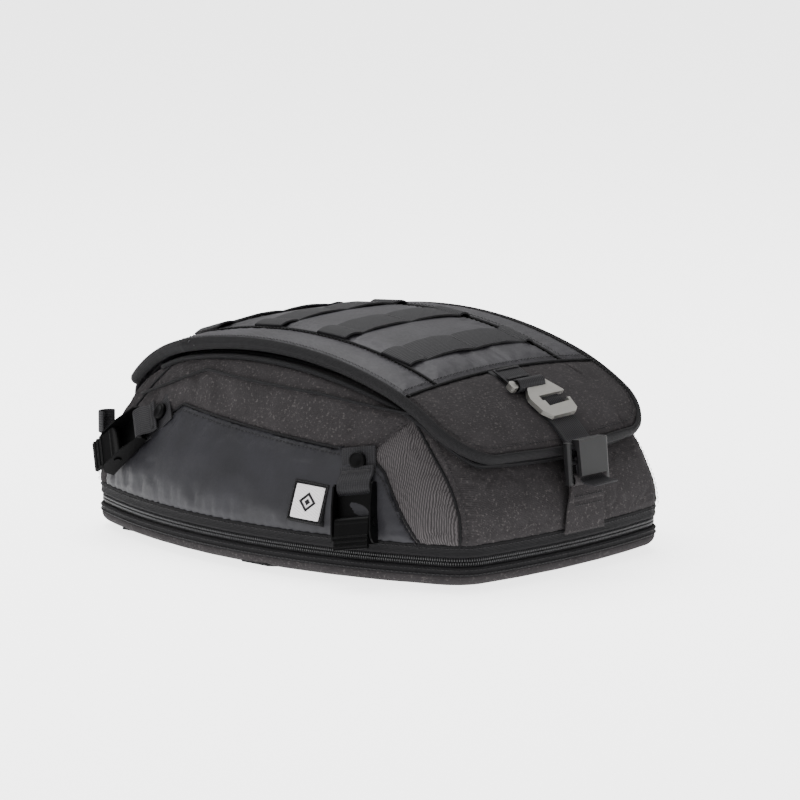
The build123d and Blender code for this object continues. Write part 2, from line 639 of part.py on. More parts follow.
def buckle_cam():
    thumb = [(PIN_B + 1.0, PIN_C + 3.9), (PIN_B - 7.0, 9.0), (CAM_TIP_B, 10.2), (CAM_TIP_B, 7.8)]
    thumb += [(PIN_B - 9.0, 6.2), (PIN_B - 3.5, PIN_C - 1.5)]
    cam = x_rod(CAM_R, -CAM_HALF, CAM_HALF, PIN_B, PIN_C) + local_prism(thumb, -CAM_HALF, CAM_HALF)
    for i in range(3):
        cam += x_rod(0.8, -CAM_HALF, CAM_HALF, CAM_TIP_B + 2.0 + 3.2 * i, 9.9 - 0.25 * i)
    return cam - x_rod(PIN_R + CAM_CLEARANCE, -CAM_HALF - 1, CAM_HALF + 1, PIN_B, PIN_C)


def buckle_tab():
    half = WEBBING_W / 2
    path = [(SNAP_TO_BAR + 9.0, 1.2 - BUCKLE_STANDOFF), (10.0, 1.6 - BUCKLE_STANDOFF)]
    path += [(6.0, 2.8 - BUCKLE_STANDOFF), (3.0, -1.0)]
    tab = local_prism(ribbon_outline(path, WEBBING_T), -half, half) + x_rod(loop_out, -half, half, 0, 0)
    return tab - x_rod(loop_in, -half - 1, half + 1, 0, 0)


def snap_cap():
    base = 3.0 - BUCKLE_STANDOFF
    cap_body = Pos(0, SNAP_TO_BAR, base + SNAP_H / 2) * Cylinder(SNAP_R, SNAP_H)
    return fillet(cap_body.edges().sort_by(Axis.Z)[-1], 0.8)


for name, sign, snap, end in BUCKLES:
    place = buckle_plane(sign, snap, end).location
    save(place * buckle_frame(), f"cam_frame_{name}")
    save(place * buckle_cam(), f"cam_lever_{name}")
    save((place * buckle_tab()) - body_outer, f"cam_tab_{name}")
    save(place * snap_cap(), f"snap_cap_{name}")

# --------------------------------------------------------- patch, rear loops
patch_y, patch_z = scaled((PATCH_Y, PATCH_Z))
patch_dir = wall_normal(-1, patch_y, patch_z)
patch_plane = Plane(origin=wall_point(-1, patch_y, patch_z), x_dir=(0, 1, 0), z_dir=patch_dir)
patch = Pos(0, 0, PATCH_T / 2 - 2) * Box(PATCH_SIZE, PATCH_SIZE, PATCH_T + 4)
save((patch_plane.location * patch) - body_outer, "patch_backing")
badge = Pos(0, 0, PATCH_T + PATCH_PLATE_T / 2) * Box(PATCH_PLATE, PATCH_PLATE, PATCH_PLATE_T)
save(patch_plane.location * badge, "patch_plate")

loop_inset = wall_inset(REAR_LOOP_Z)
loop_r = END_ARC_R - loop_inset
for side, sign in (("left", -1), ("right", 1)):
    loop_x = REAR_LOOP_X * HALF_W / 138.0
    loop_y = math.sqrt(loop_r ** 2 - loop_x ** 2) - (END_ARC_R - HALF_L)
    heading = math.degrees(math.atan2(loop_y + END_ARC_R - HALF_L, sign * loop_x))
    shape = SlotOverall(2 * REAR_LOOP_OUT, 6.0) - SlotOverall(2 * REAR_LOOP_OUT - 4.0, 2.2)
    loop = extrude(shape, amount=REAR_LOOP_H, dir=(0, 0, 1))
    loop = Pos(sign * loop_x, loop_y, REAR_LOOP_Z) * Rot(0, 0, heading) * loop
    save(loop - wall_solid(-0.01), f"rear_loop_{side}")

# ------------------------------------------------------------- zipper slider
chain_face = HALF_L - CHAIN_INSET
slider_y = HALF_L + SLIDER_CLEARANCE
mid_z = CHAIN_Z + CHAIN_H / 2
slider = block(-SLIDER_W / 2, SLIDER_W / 2, slider_y, slider_y + SLIDER_T, mid_z - SLIDER_H / 2, mid_z + SLIDER_H / 2)
slider = fillet(slider.edges().filter_by(Axis.Y), 2.0)
neck_half = CHAIN_H / 2 - SLIDER_CLEARANCE
slider += block(-4, 4, chain_face + SLIDER_CLEARANCE, slider_y + 1, mid_z - neck_half, mid_z + neck_half)
bridge_y = slider_y + SLIDER_T
slider += block(-1.2, 1.2, bridge_y - 0.5, bridge_y + 4.0, mid_z - 3.5, mid_z + 3.5)
slider -= x_rod(1.5, -3, 3, bridge_y + 1.6, mid_z)
save(slider, "zip_slider")

puller_y = bridge_y + 1.6
puller = x_rod(1.1, -2.4, 2.4, puller_y, mid_z)
for sign in (-1, 1):
    a0, a1 = sorted((sign * 1.6, sign * PULLER_W / 2))
    puller += block(a0, a1, puller_y - PULLER_T / 2, puller_y + PULLER_T / 2, mid_z - 6.5, mid_z + 1.1)
low_z = mid_z - PULLER_L
puller += block(-PULLER_W / 2, PULLER_W / 2, puller_y - PULLER_T / 2, puller_y + PULLER_T / 2, low_z, mid_z - 5.5)
save(puller, "zip_puller")
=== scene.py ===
import json
import logging
import math
from dataclasses import dataclass, field
from enum import Enum
from typing import Callable, Sequence

import bmesh
import bpy
import numpy as np
from mathutils import Matrix, Vector, noise
from mathutils.kdtree import KDTree


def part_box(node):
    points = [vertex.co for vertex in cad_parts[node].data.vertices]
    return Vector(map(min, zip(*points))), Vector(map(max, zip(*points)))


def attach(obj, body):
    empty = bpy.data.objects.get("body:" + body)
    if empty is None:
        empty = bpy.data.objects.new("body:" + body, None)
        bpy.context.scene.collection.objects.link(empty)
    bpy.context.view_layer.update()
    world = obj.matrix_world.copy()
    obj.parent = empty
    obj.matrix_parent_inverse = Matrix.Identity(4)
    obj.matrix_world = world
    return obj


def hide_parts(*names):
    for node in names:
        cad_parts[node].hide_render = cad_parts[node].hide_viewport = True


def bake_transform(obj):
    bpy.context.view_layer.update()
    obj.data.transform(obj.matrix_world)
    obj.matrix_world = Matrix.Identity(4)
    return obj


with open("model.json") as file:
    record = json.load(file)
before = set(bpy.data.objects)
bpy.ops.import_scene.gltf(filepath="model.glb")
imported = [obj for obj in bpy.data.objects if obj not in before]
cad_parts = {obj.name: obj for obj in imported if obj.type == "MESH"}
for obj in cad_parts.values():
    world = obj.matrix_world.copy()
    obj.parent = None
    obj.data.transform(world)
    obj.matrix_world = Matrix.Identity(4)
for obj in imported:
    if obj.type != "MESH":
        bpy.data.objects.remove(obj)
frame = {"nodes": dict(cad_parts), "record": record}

LOG = logging.getLogger("tail_bag")
MM = 0.001
WEB_WIDTH = 25.0
RIM_DEPTH = 12.0
BUCKLES = ("fl", "fr", "rl", "rr")
Point = tuple[float, float, float]
Path = list[Vector]


# --------------------------------------------------------------- node helpers
class NodeTree:
    """Short-hand for building one material's node tree."""

    def __init__(self, name: str) -> None:
        """Start a fresh material with a Principled shader."""
        self.material = bpy.data.materials.new(name)
        self.material.use_nodes = True
        self.tree = self.material.node_tree
        self.tree.nodes.clear()
        self.out = self.tree.nodes.new("ShaderNodeOutputMaterial")
        self.shader = self.tree.nodes.new("ShaderNodeBsdfPrincipled")
        self.link(self.shader.outputs["BSDF"], self.out.inputs["Surface"])

    def link(self, source: bpy.types.NodeSocket, target: bpy.types.NodeSocket) -> None:
        """Join two sockets."""
        self.tree.links.new(source, target)

    def add(self, kind: str, **values: object) -> bpy.types.Node:
        """Add a node and set its properties or its inputs by name.

        Args:
            kind: node type after "ShaderNode".
            **values: property names, or input names with spaces as underscores.

        Returns:
            The new node.
        """
        node = self.tree.nodes.new("ShaderNode" + kind)
        for key, value in values.items():
            label = key.replace("_", " ")
            if hasattr(node, key):
                setattr(node, key, value)
            elif label in node.inputs:
                node.inputs[label].default_value = value
            else:
                raise KeyError(f"{kind} has no {key}")
        return node

    def coordinates(self, use_uv: bool, scale: Sequence[float] = (1, 1, 1)) -> bpy.types.NodeSocket:
        """Give object or UV coordinates, scaled.

        Args:
            use_uv: take the mesh's own UV layout instead of object space.
            scale: factors along the three axes.

        Returns:
            The vector socket.
        """
        source = self.add("TexCoord")
        mapping = self.add("Mapping")
        mapping.inputs["Scale"].default_value = scale
        self.link(source.outputs["UV" if use_uv else "Object"], mapping.inputs["Vector"])
        return mapping.outputs["Vector"]

    def ramp(
        self, source: bpy.types.NodeSocket, stops: Sequence[tuple[float, Sequence[float]]]
    ) -> bpy.types.NodeSocket:
        """Turn a value into a colour.

        Args:
            source: the value.
            stops: (place, colour) pairs.

        Returns:
            The colour socket.
        """
        node = self.add("ValToRGB")
        while len(node.color_ramp.elements) < len(stops):
            node.color_ramp.elements.new(0.5)
        for element, (place, colour) in zip(node.color_ramp.elements, stops):
            element.position = place
            element.color = (*colour, 1)
        self.link(source, node.inputs["Fac"])
        return node.outputs["Color"]

    def math(self, operation: str, a: object, b: object = 0.0) -> bpy.types.NodeSocket:
        """Do arithmetic on sockets or numbers.

        Args:
            operation: Blender's name of the operation.
            a: first value.
            b: second value.

        Returns:
            The result's socket.
        """
        node = self.add("Math", operation=operation)
        for i, value in enumerate((a, b)):
            if isinstance(value, (int, float)):
                node.inputs[i].default_value = value
            else:
                self.link(value, node.inputs[i])
        return node.outputs[0]

    def mix(self, share: object, a: object, b: object) -> bpy.types.NodeSocket:
        """Mix two colours.

        Args:
            share: how much of b, a socket or a number.
            a: first colour, a socket or three numbers.
            b: second colour.

        Returns:
            The mixed colour's socket.
        """
        node = self.add("Mix", data_type="RGBA")
        for place, value in ((0, share), (6, a), (7, b)):
            if isinstance(value, bpy.types.NodeSocket):
                self.link(value, node.inputs[place])
            elif place == 0:
                node.inputs[0].default_value = value
            else:
                node.inputs[place].default_value = (*value, 1)
        return node.outputs[2]

    def bump(self, height: bpy.types.NodeSocket, strength: float, depth: float) -> None:
        """Put a bump on the shader, on top of any that is there.

        Args:
            height: the height's socket.
            strength: from 0 to 1.
            depth: height of one unit, in metres.
        """
        node = self.add("Bump", Strength=strength, Distance=depth)
        self.link(height, node.inputs["Height"])
        target = self.shader.inputs["Normal"]
        if target.is_linked:
            self.link(target.links[0].from_socket, node.inputs["Normal"])
        self.link(node.outputs["Normal"], target)


@dataclass(frozen=True)
class Finish:
    """One finish: its name, colour and how its surface answers light."""

    name: str
    colour: tuple[float, float, float]
    roughness: float = 0.8
    metallic: float = 0.0
    gloss: float = 0.5

    def start(self) -> NodeTree:
        """Make the material with its plain shader values."""
        tree = NodeTree("finish_" + self.name)
        shader = tree.shader
        shader.inputs["Base Color"].default_value = (*self.colour, 1)
        shader.inputs["Roughness"].default_value = self.roughness
        shader.inputs["Metallic"].default_value = self.metallic
        shader.inputs["Specular IOR Level"].default_value = self.gloss
        return tree

    def build(self) -> bpy.types.Material:
        """Make the material; plain finishes still get fine grain."""
        tree = self.start()
        where = tree.coordinates(False)
        grain = tree.add("TexNoise", Scale=900.0, Detail=3.0)
        tree.link(where, grain.inputs["Vector"])
        tree.bump(grain.outputs["Fac"], 0.25, 0.00008)
        shade = tree.add("TexNoise", Scale=60.0, Detail=2.0)
        tree.link(where, shade.inputs["Vector"])
        darker = tuple(c * 0.75 for c in self.colour)
        lighter = tuple(min(1.0, c * 1.2) for c in self.colour)
        tree.link(
            tree.ramp(shade.outputs["Fac"], [(0.3, darker), (0.7, lighter)]),
            tree.shader.inputs["Base Color"],
        )
        return tree.material


@dataclass(frozen=True)
class MottledCanvas(Finish):
    """Heathered canvas: dark ground, pale flecks and a plain weave."""

    fleck: tuple[float, float, float] = (0.16, 0.15, 0.145)
    pitch: float = 0.0011

    def build(self) -> bpy.types.Material:
        """Make the material with flecks, cloudy colour and woven bump."""
        tree = self.start()
        where = tree.coordinates(False)
        cloud = tree.add("TexNoise", Scale=55.0, Detail=3.0)
        fine = tree.add("TexNoise", Scale=520.0, Detail=2.0, Roughness=0.75)
        thread = tree.add("TexNoise", Scale=1500.0, Detail=1.0)
        for node in (cloud, fine, thread):
            tree.link(where, node.inputs["Vector"])
        dark = tuple(c * 0.62 for c in self.colour)
        ground = tree.ramp(cloud.outputs["Fac"], [(0.3, dark), (0.72, self.colour)])
        pale = tree.ramp(fine.outputs["Fac"], [(0.57, (0, 0, 0)), (0.68, (1, 1, 1))])
        heather = tree.mix(tree.math("MULTIPLY", pale, 0.55), ground, self.fleck)
        worn = tree.ramp(
            thread.outputs["Fac"], [(0.35, tuple(c * 0.6 for c in self.colour)), (0.7, self.colour)]
        )
        tree.link(tree.mix(0.35, heather, worn), tree.shader.inputs["Base Color"])
        across = tree.add(
            "TexWave",
            Scale=0.314 / self.pitch,
            bands_direction="DIAGONAL",
            Distortion=1.5,
            Detail=1.0,
        )
        along = tree.add(
            "TexWave", Scale=0.314 / self.pitch, bands_direction="Z", Distortion=1.5, Detail=1.0
        )
        for node in (across, along):
            tree.link(where, node.inputs["Vector"])
        weave = tree.math("MULTIPLY", across.outputs["Fac"], along.outputs["Fac"])
        tree.bump(weave, 0.55, 0.0003)
        tree.bump(fine.outputs["Fac"], 0.4, 0.0003)
        return tree.material


@dataclass(frozen=True)
class CoatedCloth(Finish):
    """Smooth coated cloth that looks like soft leather."""

    grain: float = 0.0016

    def build(self) -> bpy.types.Material:
        """Make the material with pebbled grain and a patchy gloss."""
        tree = self.start()
        where = tree.coordinates(False)
        pebble = tree.add("TexVoronoi", Scale=1.0 / self.grain, feature="DISTANCE_TO_EDGE")
        broad = tree.add("TexNoise", Scale=26.0, Detail=3.0)
        fine = tree.add("TexNoise", Scale=420.0, Detail=3.0)
        for node in (pebble, broad, fine):
            tree.link(where, node.inputs["Vector"])
        darker = tuple(c * 0.72 for c in self.colour)
        lighter = tuple(c * 1.25 for c in self.colour)
        tone = tree.ramp(broad.outputs["Fac"], [(0.3, darker), (0.7, lighter)])
        tree.link(tone, tree.shader.inputs["Base Color"])
        gloss = tree.add("MapRange")
        gloss.inputs["To Min"].default_value = self.roughness - 0.08
        gloss.inputs["To Max"].default_value = self.roughness + 0.1
        tree.link(fine.outputs["Fac"], gloss.inputs["Value"])
        tree.link(gloss.outputs["Result"], tree.shader.inputs["Roughness"])
        edges = tree.ramp(pebble.outputs["Distance"], [(0.0, (0, 0, 0)), (0.2, (1, 1, 1))])
        tree.bump(edges, 0.3, 0.00006)
        tree.bump(broad.outputs["Fac"], 0.35, 0.0022)
        return tree.material


@dataclass(frozen=True)
class RibbedCloth(Finish):
    """Twill or webbing: ribs across UV or object space."""

    pitch: float = 0.0016
    use_uv: bool = True
    slant: tuple[float, float, float] = (0.0, 0.0, 0.0)
    contrast: float = 0.5

    def build(self) -> bpy.types.Material:
        """Make the material with ribs, broken threads and fuzz."""
        tree = self.start()
        where = tree.coordinates(self.use_uv)
        where.node.inputs["Rotation"].default_value = self.slant
        rib = tree.add(
            "TexWave", Scale=0.314 / self.pitch, bands_direction="X", Distortion=0.25, Detail=1.0
        )
        cross = tree.add(
            "TexWave", Scale=0.314 / (self.pitch * 0.8), bands_direction="Y", Distortion=0.4
        )
        fuzz = tree.add("TexNoise", Scale=1100.0, Detail=2.0)
        for node in (rib, cross, fuzz):
            tree.link(where, node.inputs["Vector"])
        low = tuple(c * (1.0 - self.contrast) for c in self.colour)
        high = tuple(c * (1.0 + self.contrast) for c in self.colour)
        ribs = tree.math(
            "MULTIPLY",
            rib.outputs["Fac"],
            tree.math("ADD", tree.math("MULTIPLY", cross.outputs["Fac"], 0.4), 0.6),
        )
        tone = tree.ramp(ribs, [(0.1, low), (0.8, high)])
        tree.link(
            tree.mix(tree.math("MULTIPLY", fuzz.outputs["Fac"], 0.35), tone, self.colour),
            tree.shader.inputs["Base Color"],
        )
        tree.bump(ribs, 0.6, 0.00035)
        tree.bump(fuzz.outputs["Fac"], 0.3, 0.00015)
        return tree.material


@dataclass(frozen=True)
class BrushedAlloy(Finish):
    """Satin alloy with fine scratches."""

    def build(self) -> bpy.types.Material:
        """Make the material with stretched scratches."""
        tree = self.start()
        where = tree.coordinates(False, (1, 14, 14))
        scratch = tree.add("TexNoise", Scale=160.0, Detail=5.0)
        tree.link(where, scratch.inputs["Vector"])
        span = tree.add("MapRange")
        span.inputs["To Min"].default_value = self.roughness - 0.1
        span.inputs["To Max"].default_value = self.roughness + 0.14
        tree.link(scratch.outputs["Fac"], span.inputs["Value"])
        tree.link(span.outputs["Result"], tree.shader.inputs["Roughness"])
        tone = tree.ramp(
            scratch.outputs["Fac"],
            [(0.2, tuple(c * 0.82 for c in self.colour)), (0.8, self.colour)],
        )
        tree.link(tone, tree.shader.inputs["Base Color"])
        tree.bump(scratch.outputs["Fac"], 0.15, 0.0001)
        return tree.material


class Stuff(Enum):
    """Every finish on the bag."""

    CANVAS = MottledCanvas(
        "mottled_canvas", (0.0262, 0.0240, 0.0250), 0.95, gloss=0.1, fleck=(0.092, 0.084, 0.082)
    )
    COATED = CoatedCloth("coated_cloth", (0.0118, 0.0116, 0.0142), 0.55, gloss=0.2)
    # The same coated cloth as the line above, made about twice as light: painted light for the top
    # faces that the lamps light more.
    COATED_TOP = CoatedCloth("coated_cloth_painted_light", (0.0225, 0.0215, 0.0245), 0.58, gloss=0.2)
    TWILL = RibbedCloth(
        "corner_twill", (0.0430, 0.0395, 0.0405), 0.9, gloss=0.1, pitch=0.0015, use_uv=False,
        slant=(0.12, 0.0, 1.5708), contrast=0.6,
    )
    WEBBING = RibbedCloth(
        "black_webbing", (0.0088, 0.0085, 0.0098), 0.7, gloss=0.2, pitch=0.0017, contrast=0.5
    )
    TAPE = RibbedCloth(
        "binding_tape", (0.0058, 0.0056, 0.0062), 0.8, gloss=0.15, pitch=0.0009, contrast=0.4
    )
    CORD = RibbedCloth(
        "seam_cord", (0.0045, 0.0044, 0.0050), 0.75, gloss=0.15, pitch=0.0008, contrast=0.3
    )
    THREAD = RibbedCloth(
        "stitch_thread", (0.0120, 0.0115, 0.0125), 0.6, gloss=0.2, pitch=0.0004, contrast=0.4
    )
    TEETH = Finish("zip_teeth", (0.014, 0.014, 0.015), 0.38, gloss=0.45)
    LINING = RibbedCloth(
        "lining", (0.045, 0.045, 0.047), 0.8, gloss=0.15, pitch=0.0009, use_uv=False, contrast=0.2
    )
    GRIP = Finish("grip_sheet", (0.006, 0.006, 0.006), 0.9, gloss=0.2)
    BOARD = Finish("base_board", (0.006, 0.006, 0.006), 0.6, gloss=0.3)
    BLACK_METAL = Finish("black_coated_metal", (0.0012, 0.0012, 0.0013), 0.42, gloss=0.05)
    SPRING = Finish("spring_steel", (0.06, 0.06, 0.06), 0.35, metallic=1.0)
    ALLOY = BrushedAlloy("satin_alloy", (0.42, 0.41, 0.385), 0.40, metallic=1.0)
    PLASTIC = Finish("moulded_plastic", (0.0040, 0.0040, 0.0044), 0.46, gloss=0.25)
    PATCH = RibbedCloth(
        "patch_cloth", (0.56, 0.54, 0.55), 0.75, gloss=0.15, pitch=0.0006, use_uv=False,
        contrast=0.06,
    )
    PATCH_EDGE = RibbedCloth(
        "patch_edge", (0.0035, 0.0035, 0.004), 0.75, gloss=0.15, pitch=0.0008, use_uv=False,
        contrast=0.3,
    )
    MARK = Finish("patch_mark", (0.006, 0.006, 0.007), 0.7, gloss=0.15)

    @property
    def material(self) -> bpy.types.Material:
        """The built material, made on first use."""
        return bpy.data.materials.get("finish_" + self.value.name) or self.value.build()


# -------------------------------------------------------------- mesh helpers
def make_object(
    name: str,
    verts: Sequence[Sequence[float]],
    faces: Sequence[Sequence[int]],
    stuff: Stuff,
    smooth: bool = True,
) -> bpy.types.Object:
    """Make a mesh object from millimetre points.

    Args:
        name: the piece's name.
        verts: points in millimetres.
        faces: vertex numbers of each face.
        stuff: its finish.
        smooth: shade it smooth.

    Returns:
        The new object.
    """
    mesh = bpy.data.meshes.new(name)
    mesh.from_pydata([(x * MM, y * MM, z * MM) for x, y, z in verts], [], faces)
    mesh.update()
    obj = bpy.data.objects.new(name, mesh)
    bpy.context.scene.collection.objects.link(obj)
    mesh.materials.append(stuff.material)
    if smooth:
        mesh.shade_smooth()
    return obj


def finish_normals(obj: bpy.types.Object, merge: float = 0.0) -> None:
    """Point all faces outward, and join vertices closer than merge metres."""
    bm = bmesh.new()
    bm.from_mesh(obj.data)
    if merge > 0:
        bmesh.ops.remove_doubles(bm, verts=bm.verts, dist=merge)
    bmesh.ops.recalc_face_normals(bm, faces=bm.faces)
    bm.to_mesh(obj.data)
    bm.free()


def bevel(obj: bpy.types.Object, width: float, segments: int = 2) -> None:
    """Round the sharp edges of a rigid piece, width in millimetres."""
    mod = obj.modifiers.new("edge_round", "BEVEL")
    mod.width = width * MM
    mod.segments = segments
    mod.limit_method = "ANGLE"
    mod.angle_limit = math.radians(38)
    mod.harden_normals = True


def thicken(obj: bpy.types.Object, depth: float) -> None:
    """Give a sheet its thickness inward, depth in millimetres."""
    mod = obj.modifiers.new("cloth_depth", "SOLIDIFY")
    mod.thickness = depth * MM
    mod.offset = -1.0
    mod.use_even_offset = False


def rounded_profile(
    width: float, height: float, radius: float, steps: int = 3
) -> list[tuple[float, float]]:
    """Closed rounded rectangle, centred across and standing on zero height.

    Args:
        width: full width.
        height: full height.
        radius: corner radius.
        steps: points per corner.

    Returns:
        (across, up) points, anticlockwise.
    """
    radius = min(radius, width / 2, height / 2)
    corners = ((1, 0, -90), (1, 1, 0), (-1, 1, 90), (-1, 0, 180))
    points = []
    for sx, top, start in corners:
        cx = sx * (width / 2 - radius)
        cy = height - radius if top else radius
        for i in range(steps + 1):
            angle = math.radians(start + 90 * i / steps)
            points.append((cx + radius * math.cos(angle), cy + radius * math.sin(angle)))
    return points


def sweep(
    name: str,
    path: Sequence[Vector],
    normals: Sequence[Vector],
    profile: Sequence[tuple[float, float]],
    stuff: Stuff,
    closed: bool = False,
    widths: Sequence[float] | None = None,
) -> bpy.types.Object:
    """Run a closed profile along a path.

    Args:
        name: the piece's name.
        path: points in millimetres.
        normals: the "up" direction of the profile at each point.
        profile: (across, up) points.
        stuff: its finish.
        closed: join the path's ends.
        widths: factor on the profile's width at each point.

    Returns:
        The new object, with a UV layout along its length.
    """
    count, ring = len(path), len(profile)
    verts: list[Vector] = []
    for i, point in enumerate(path):
        before = path[(i - 1) % count] if closed or i > 0 else point
        after = path[(i + 1) % count] if closed or i < count - 1 else point
        tangent = (after - before).normalized()
        side = tangent.cross(normals[i]).normalized()
        up = side.cross(tangent).normalized()
        factor = widths[i] if widths else 1.0
        verts.extend(point + side * (w * factor) + up * h for w, h in profile)
    faces = []
    spans = count if closed else count - 1
    for i in range(spans):
        a, b = i * ring, ((i + 1) % count) * ring
        for j in range(ring):
            k = (j + 1) % ring
            faces.append((a + j, a + k, b + k, b + j))
    if not closed:
        faces.append(tuple(range(ring))[::-1])
        faces.append(tuple((count - 1) * ring + j for j in range(ring)))
    obj = make_object(name, verts, faces, stuff)
    along = [0.0]
    for i in range(1, count + 1):
        along.append(along[-1] + (path[i % count] - path[i - 1]).length)
    around = [0.0]
    for j in range(1, ring + 1):
        around.append(around[-1] + math.dist(profile[j % ring], profile[j - 1]))
    layer = obj.data.uv_layers.new(name="UVMap")
    for i in range(spans):
        for j in range(ring):
            poly = obj.data.polygons[i * ring + j]
            spots = ((j, i), (j + 1, i), (j + 1, i + 1), (j, i + 1))
            for loop, (u, v) in zip(poly.loop_indices, spots):
                layer.data[loop].uv = (around[u] * MM, along[v] * MM)
    finish_normals(obj)
    return obj


def strap(
    name: str,
    path: Path,
    normals: Path,
    width: float,
    thick: float = 1.7,
    stuff: Stuff = Stuff.WEBBING,
    widths: Sequence[float] | None = None,
) -> bpy.types.Object:
    """Webbing or tape laid along a path, standing on it."""
    return sweep(
        name, path, normals, rounded_profile(width, thick, thick * 0.45), stuff, widths=widths
    )


def tube(
    name: str, path: Path, radius: float, stuff: Stuff, closed: bool = False, sides: int = 8
) -> bpy.types.Object:
    """Round cord along a path, with a steady up direction."""
    profile = [
        (radius * math.cos(2 * math.pi * i / sides), radius * math.sin(2 * math.pi * i / sides))
        for i in range(sides)
    ]
    normals = []
    for i in range(len(path)):
        tangent = path[min(i + 1, len(path) - 1)] - path[max(i - 1, 0)]
        up = Vector((0, 0, 1)) if abs(tangent.normalized().z) < 0.9 else Vector((1, 0, 0))
        normals.append(up)
    return sweep(name, path, normals, profile, stuff, closed=closed)


def smooth_path(points: Sequence[Sequence[float]], steps: int = 6) -> Path:
    """Catmull-Rom curve through points.

    Args:
        points: the points to pass through.
        steps: points per span.

    Returns:
        The finer path.
    """
    pts = [Vector(p) for p in points]
    pts = [pts[0] * 2 - pts[1], *pts, pts[-1] * 2 - pts[-2]]
    path = []
    for i in range(1, len(pts) - 2):
        p0, p1, p2, p3 = pts[i - 1 : i + 3]
        for k in range(steps):
            t = k / steps
            path.append(
                0.5 * (
                    2 * p1 + (p2 - p0) * t + (
                        2 * p0 - 5 * p1 + 4 * p2 - p3
                    ) * t**2 + (3 * p1 - p0 - 3 * p2 + p3) * t**3
                )
            )
    path.append(pts[-2])
    return path


def even_path(path: Sequence[Vector], step: float) -> Path:
    """Points at an even spacing along a path.

    Args:
        path: the path.
        step: spacing in millimetres.

    Returns:
        The evenly spaced points.
    """
    lengths = [0.0]
    for a, b in zip(path, path[1:]):
        lengths.append(lengths[-1] + (b - a).length)
    count = max(2, int(lengths[-1] / step) + 1)
    result, k = [], 0
    for i in range(count):
        want = lengths[-1] * i / (count - 1)
        while k < len(path) - 2 and lengths[k + 1] < want:
            k += 1
        share = (want - lengths[k]) / max(1e-9, lengths[k + 1] - lengths[k])
        result.append(path[k].lerp(path[k + 1], share))
    return result


def stitches(
    name: str,
    path: Path,
    normals: Callable[[Vector], Vector],
    pitch: float = 3.2,
    length: float = 2.2,
    radius: float = 0.32,
    stuff: Stuff = Stuff.THREAD,
) -> bpy.types.Object:
    """A row of stitches pulled into the cloth.

    Args:
        name: the piece's name.
        path: the row's line in millimetres.
        normals: gives the cloth's normal at a point.
        pitch: spacing of the stitches.
        length: length of one stitch.
        radius: the thread's radius.
        stuff: its finish.

    Returns:
        The new object.
    """
    verts: list[Vector] = []
    faces: list[tuple[int, ...]] = []
    spots = even_path(path, pitch)
    for a, b in zip(spots, spots[1:]):
        tangent = (b - a).normalized()
        up = normals(a)
        side = tangent.cross(up).normalized()
        start = len(verts)
        for share, lift in ((0.0, -0.35), (0.3, 0.25), (0.7, 0.25), (1.0, -0.35)):
            centre = a + tangent * (length * share) + up * (lift + radius * 0.5)
            for s, h in ((-1, 0), (0, 1), (1, 0), (0, -0.6)):
                verts.append(centre + side * s * radius + up * h * radius)
        for r in range(3):
            for j in range(4):
                k = (j + 1) % 4
                p = start + r * 4
                faces.append((p + j, p + k, p + 4 + k, p + 4 + j))
    return make_object(name, verts, faces, stuff)


def join(name: str, objects: Sequence[bpy.types.Object]) -> bpy.types.Object:
    """Join mesh objects into the first one and rename it."""
    target = objects[0]
    with bpy.context.temp_override(
        active_object=target,
        object=target,
        selected_objects=list(objects),
        selected_editable_objects=list(objects),
    ):
        bpy.ops.object.join()
    target.name = name
    target.data.name = name
    return target


def lathe(
    name: str, profile: Sequence[tuple[float, float]], place: Matrix, stuff: Stuff, steps: int = 40
) -> bpy.types.Object:
    """Turn a (radius, height) profile about a plane's normal.

    Args:
        name: the piece's name.
        profile: radius and height pairs, from the axis outward.
        place: where the turned shape stands, in millimetres.
        stuff: its finish.
        steps: facets round the turn.

    Returns:
        The new object.
    """
    verts, faces = [], []
    for radius, height in profile:
        for i in range(steps):
            angle = 2 * math.pi * i / steps
            verts.append(
                place @ Vector((radius * math.cos(angle), radius * math.sin(angle), height))
            )
    for r in range(len(profile) - 1):
        for i in range(steps):
            k = (i + 1) % steps
            faces.append((r * steps + i, r * steps + k, (r + 1) * steps + k, (r + 1) * steps + i))
    obj = make_object(name, verts, faces, stuff)
    finish_normals(obj, merge=1e-6)
    return obj


def put(obj: bpy.types.Object, body: str, slot: str, *nodes: str) -> bpy.types.Object:
    """Ride a finished piece on its body and let it stand for CAD nodes.

    Args:
        obj: the piece.
        body: the body it moves with.
        slot: the record's material slot; not used.
        *nodes: CAD nodes it stands for.

    Returns:
        The same piece.
    """
    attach(obj, body)
    if nodes:
        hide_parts(*nodes)
    LOG.info("%s: %d faces on %s", obj.name, len(obj.data.polygons), body)
    return obj


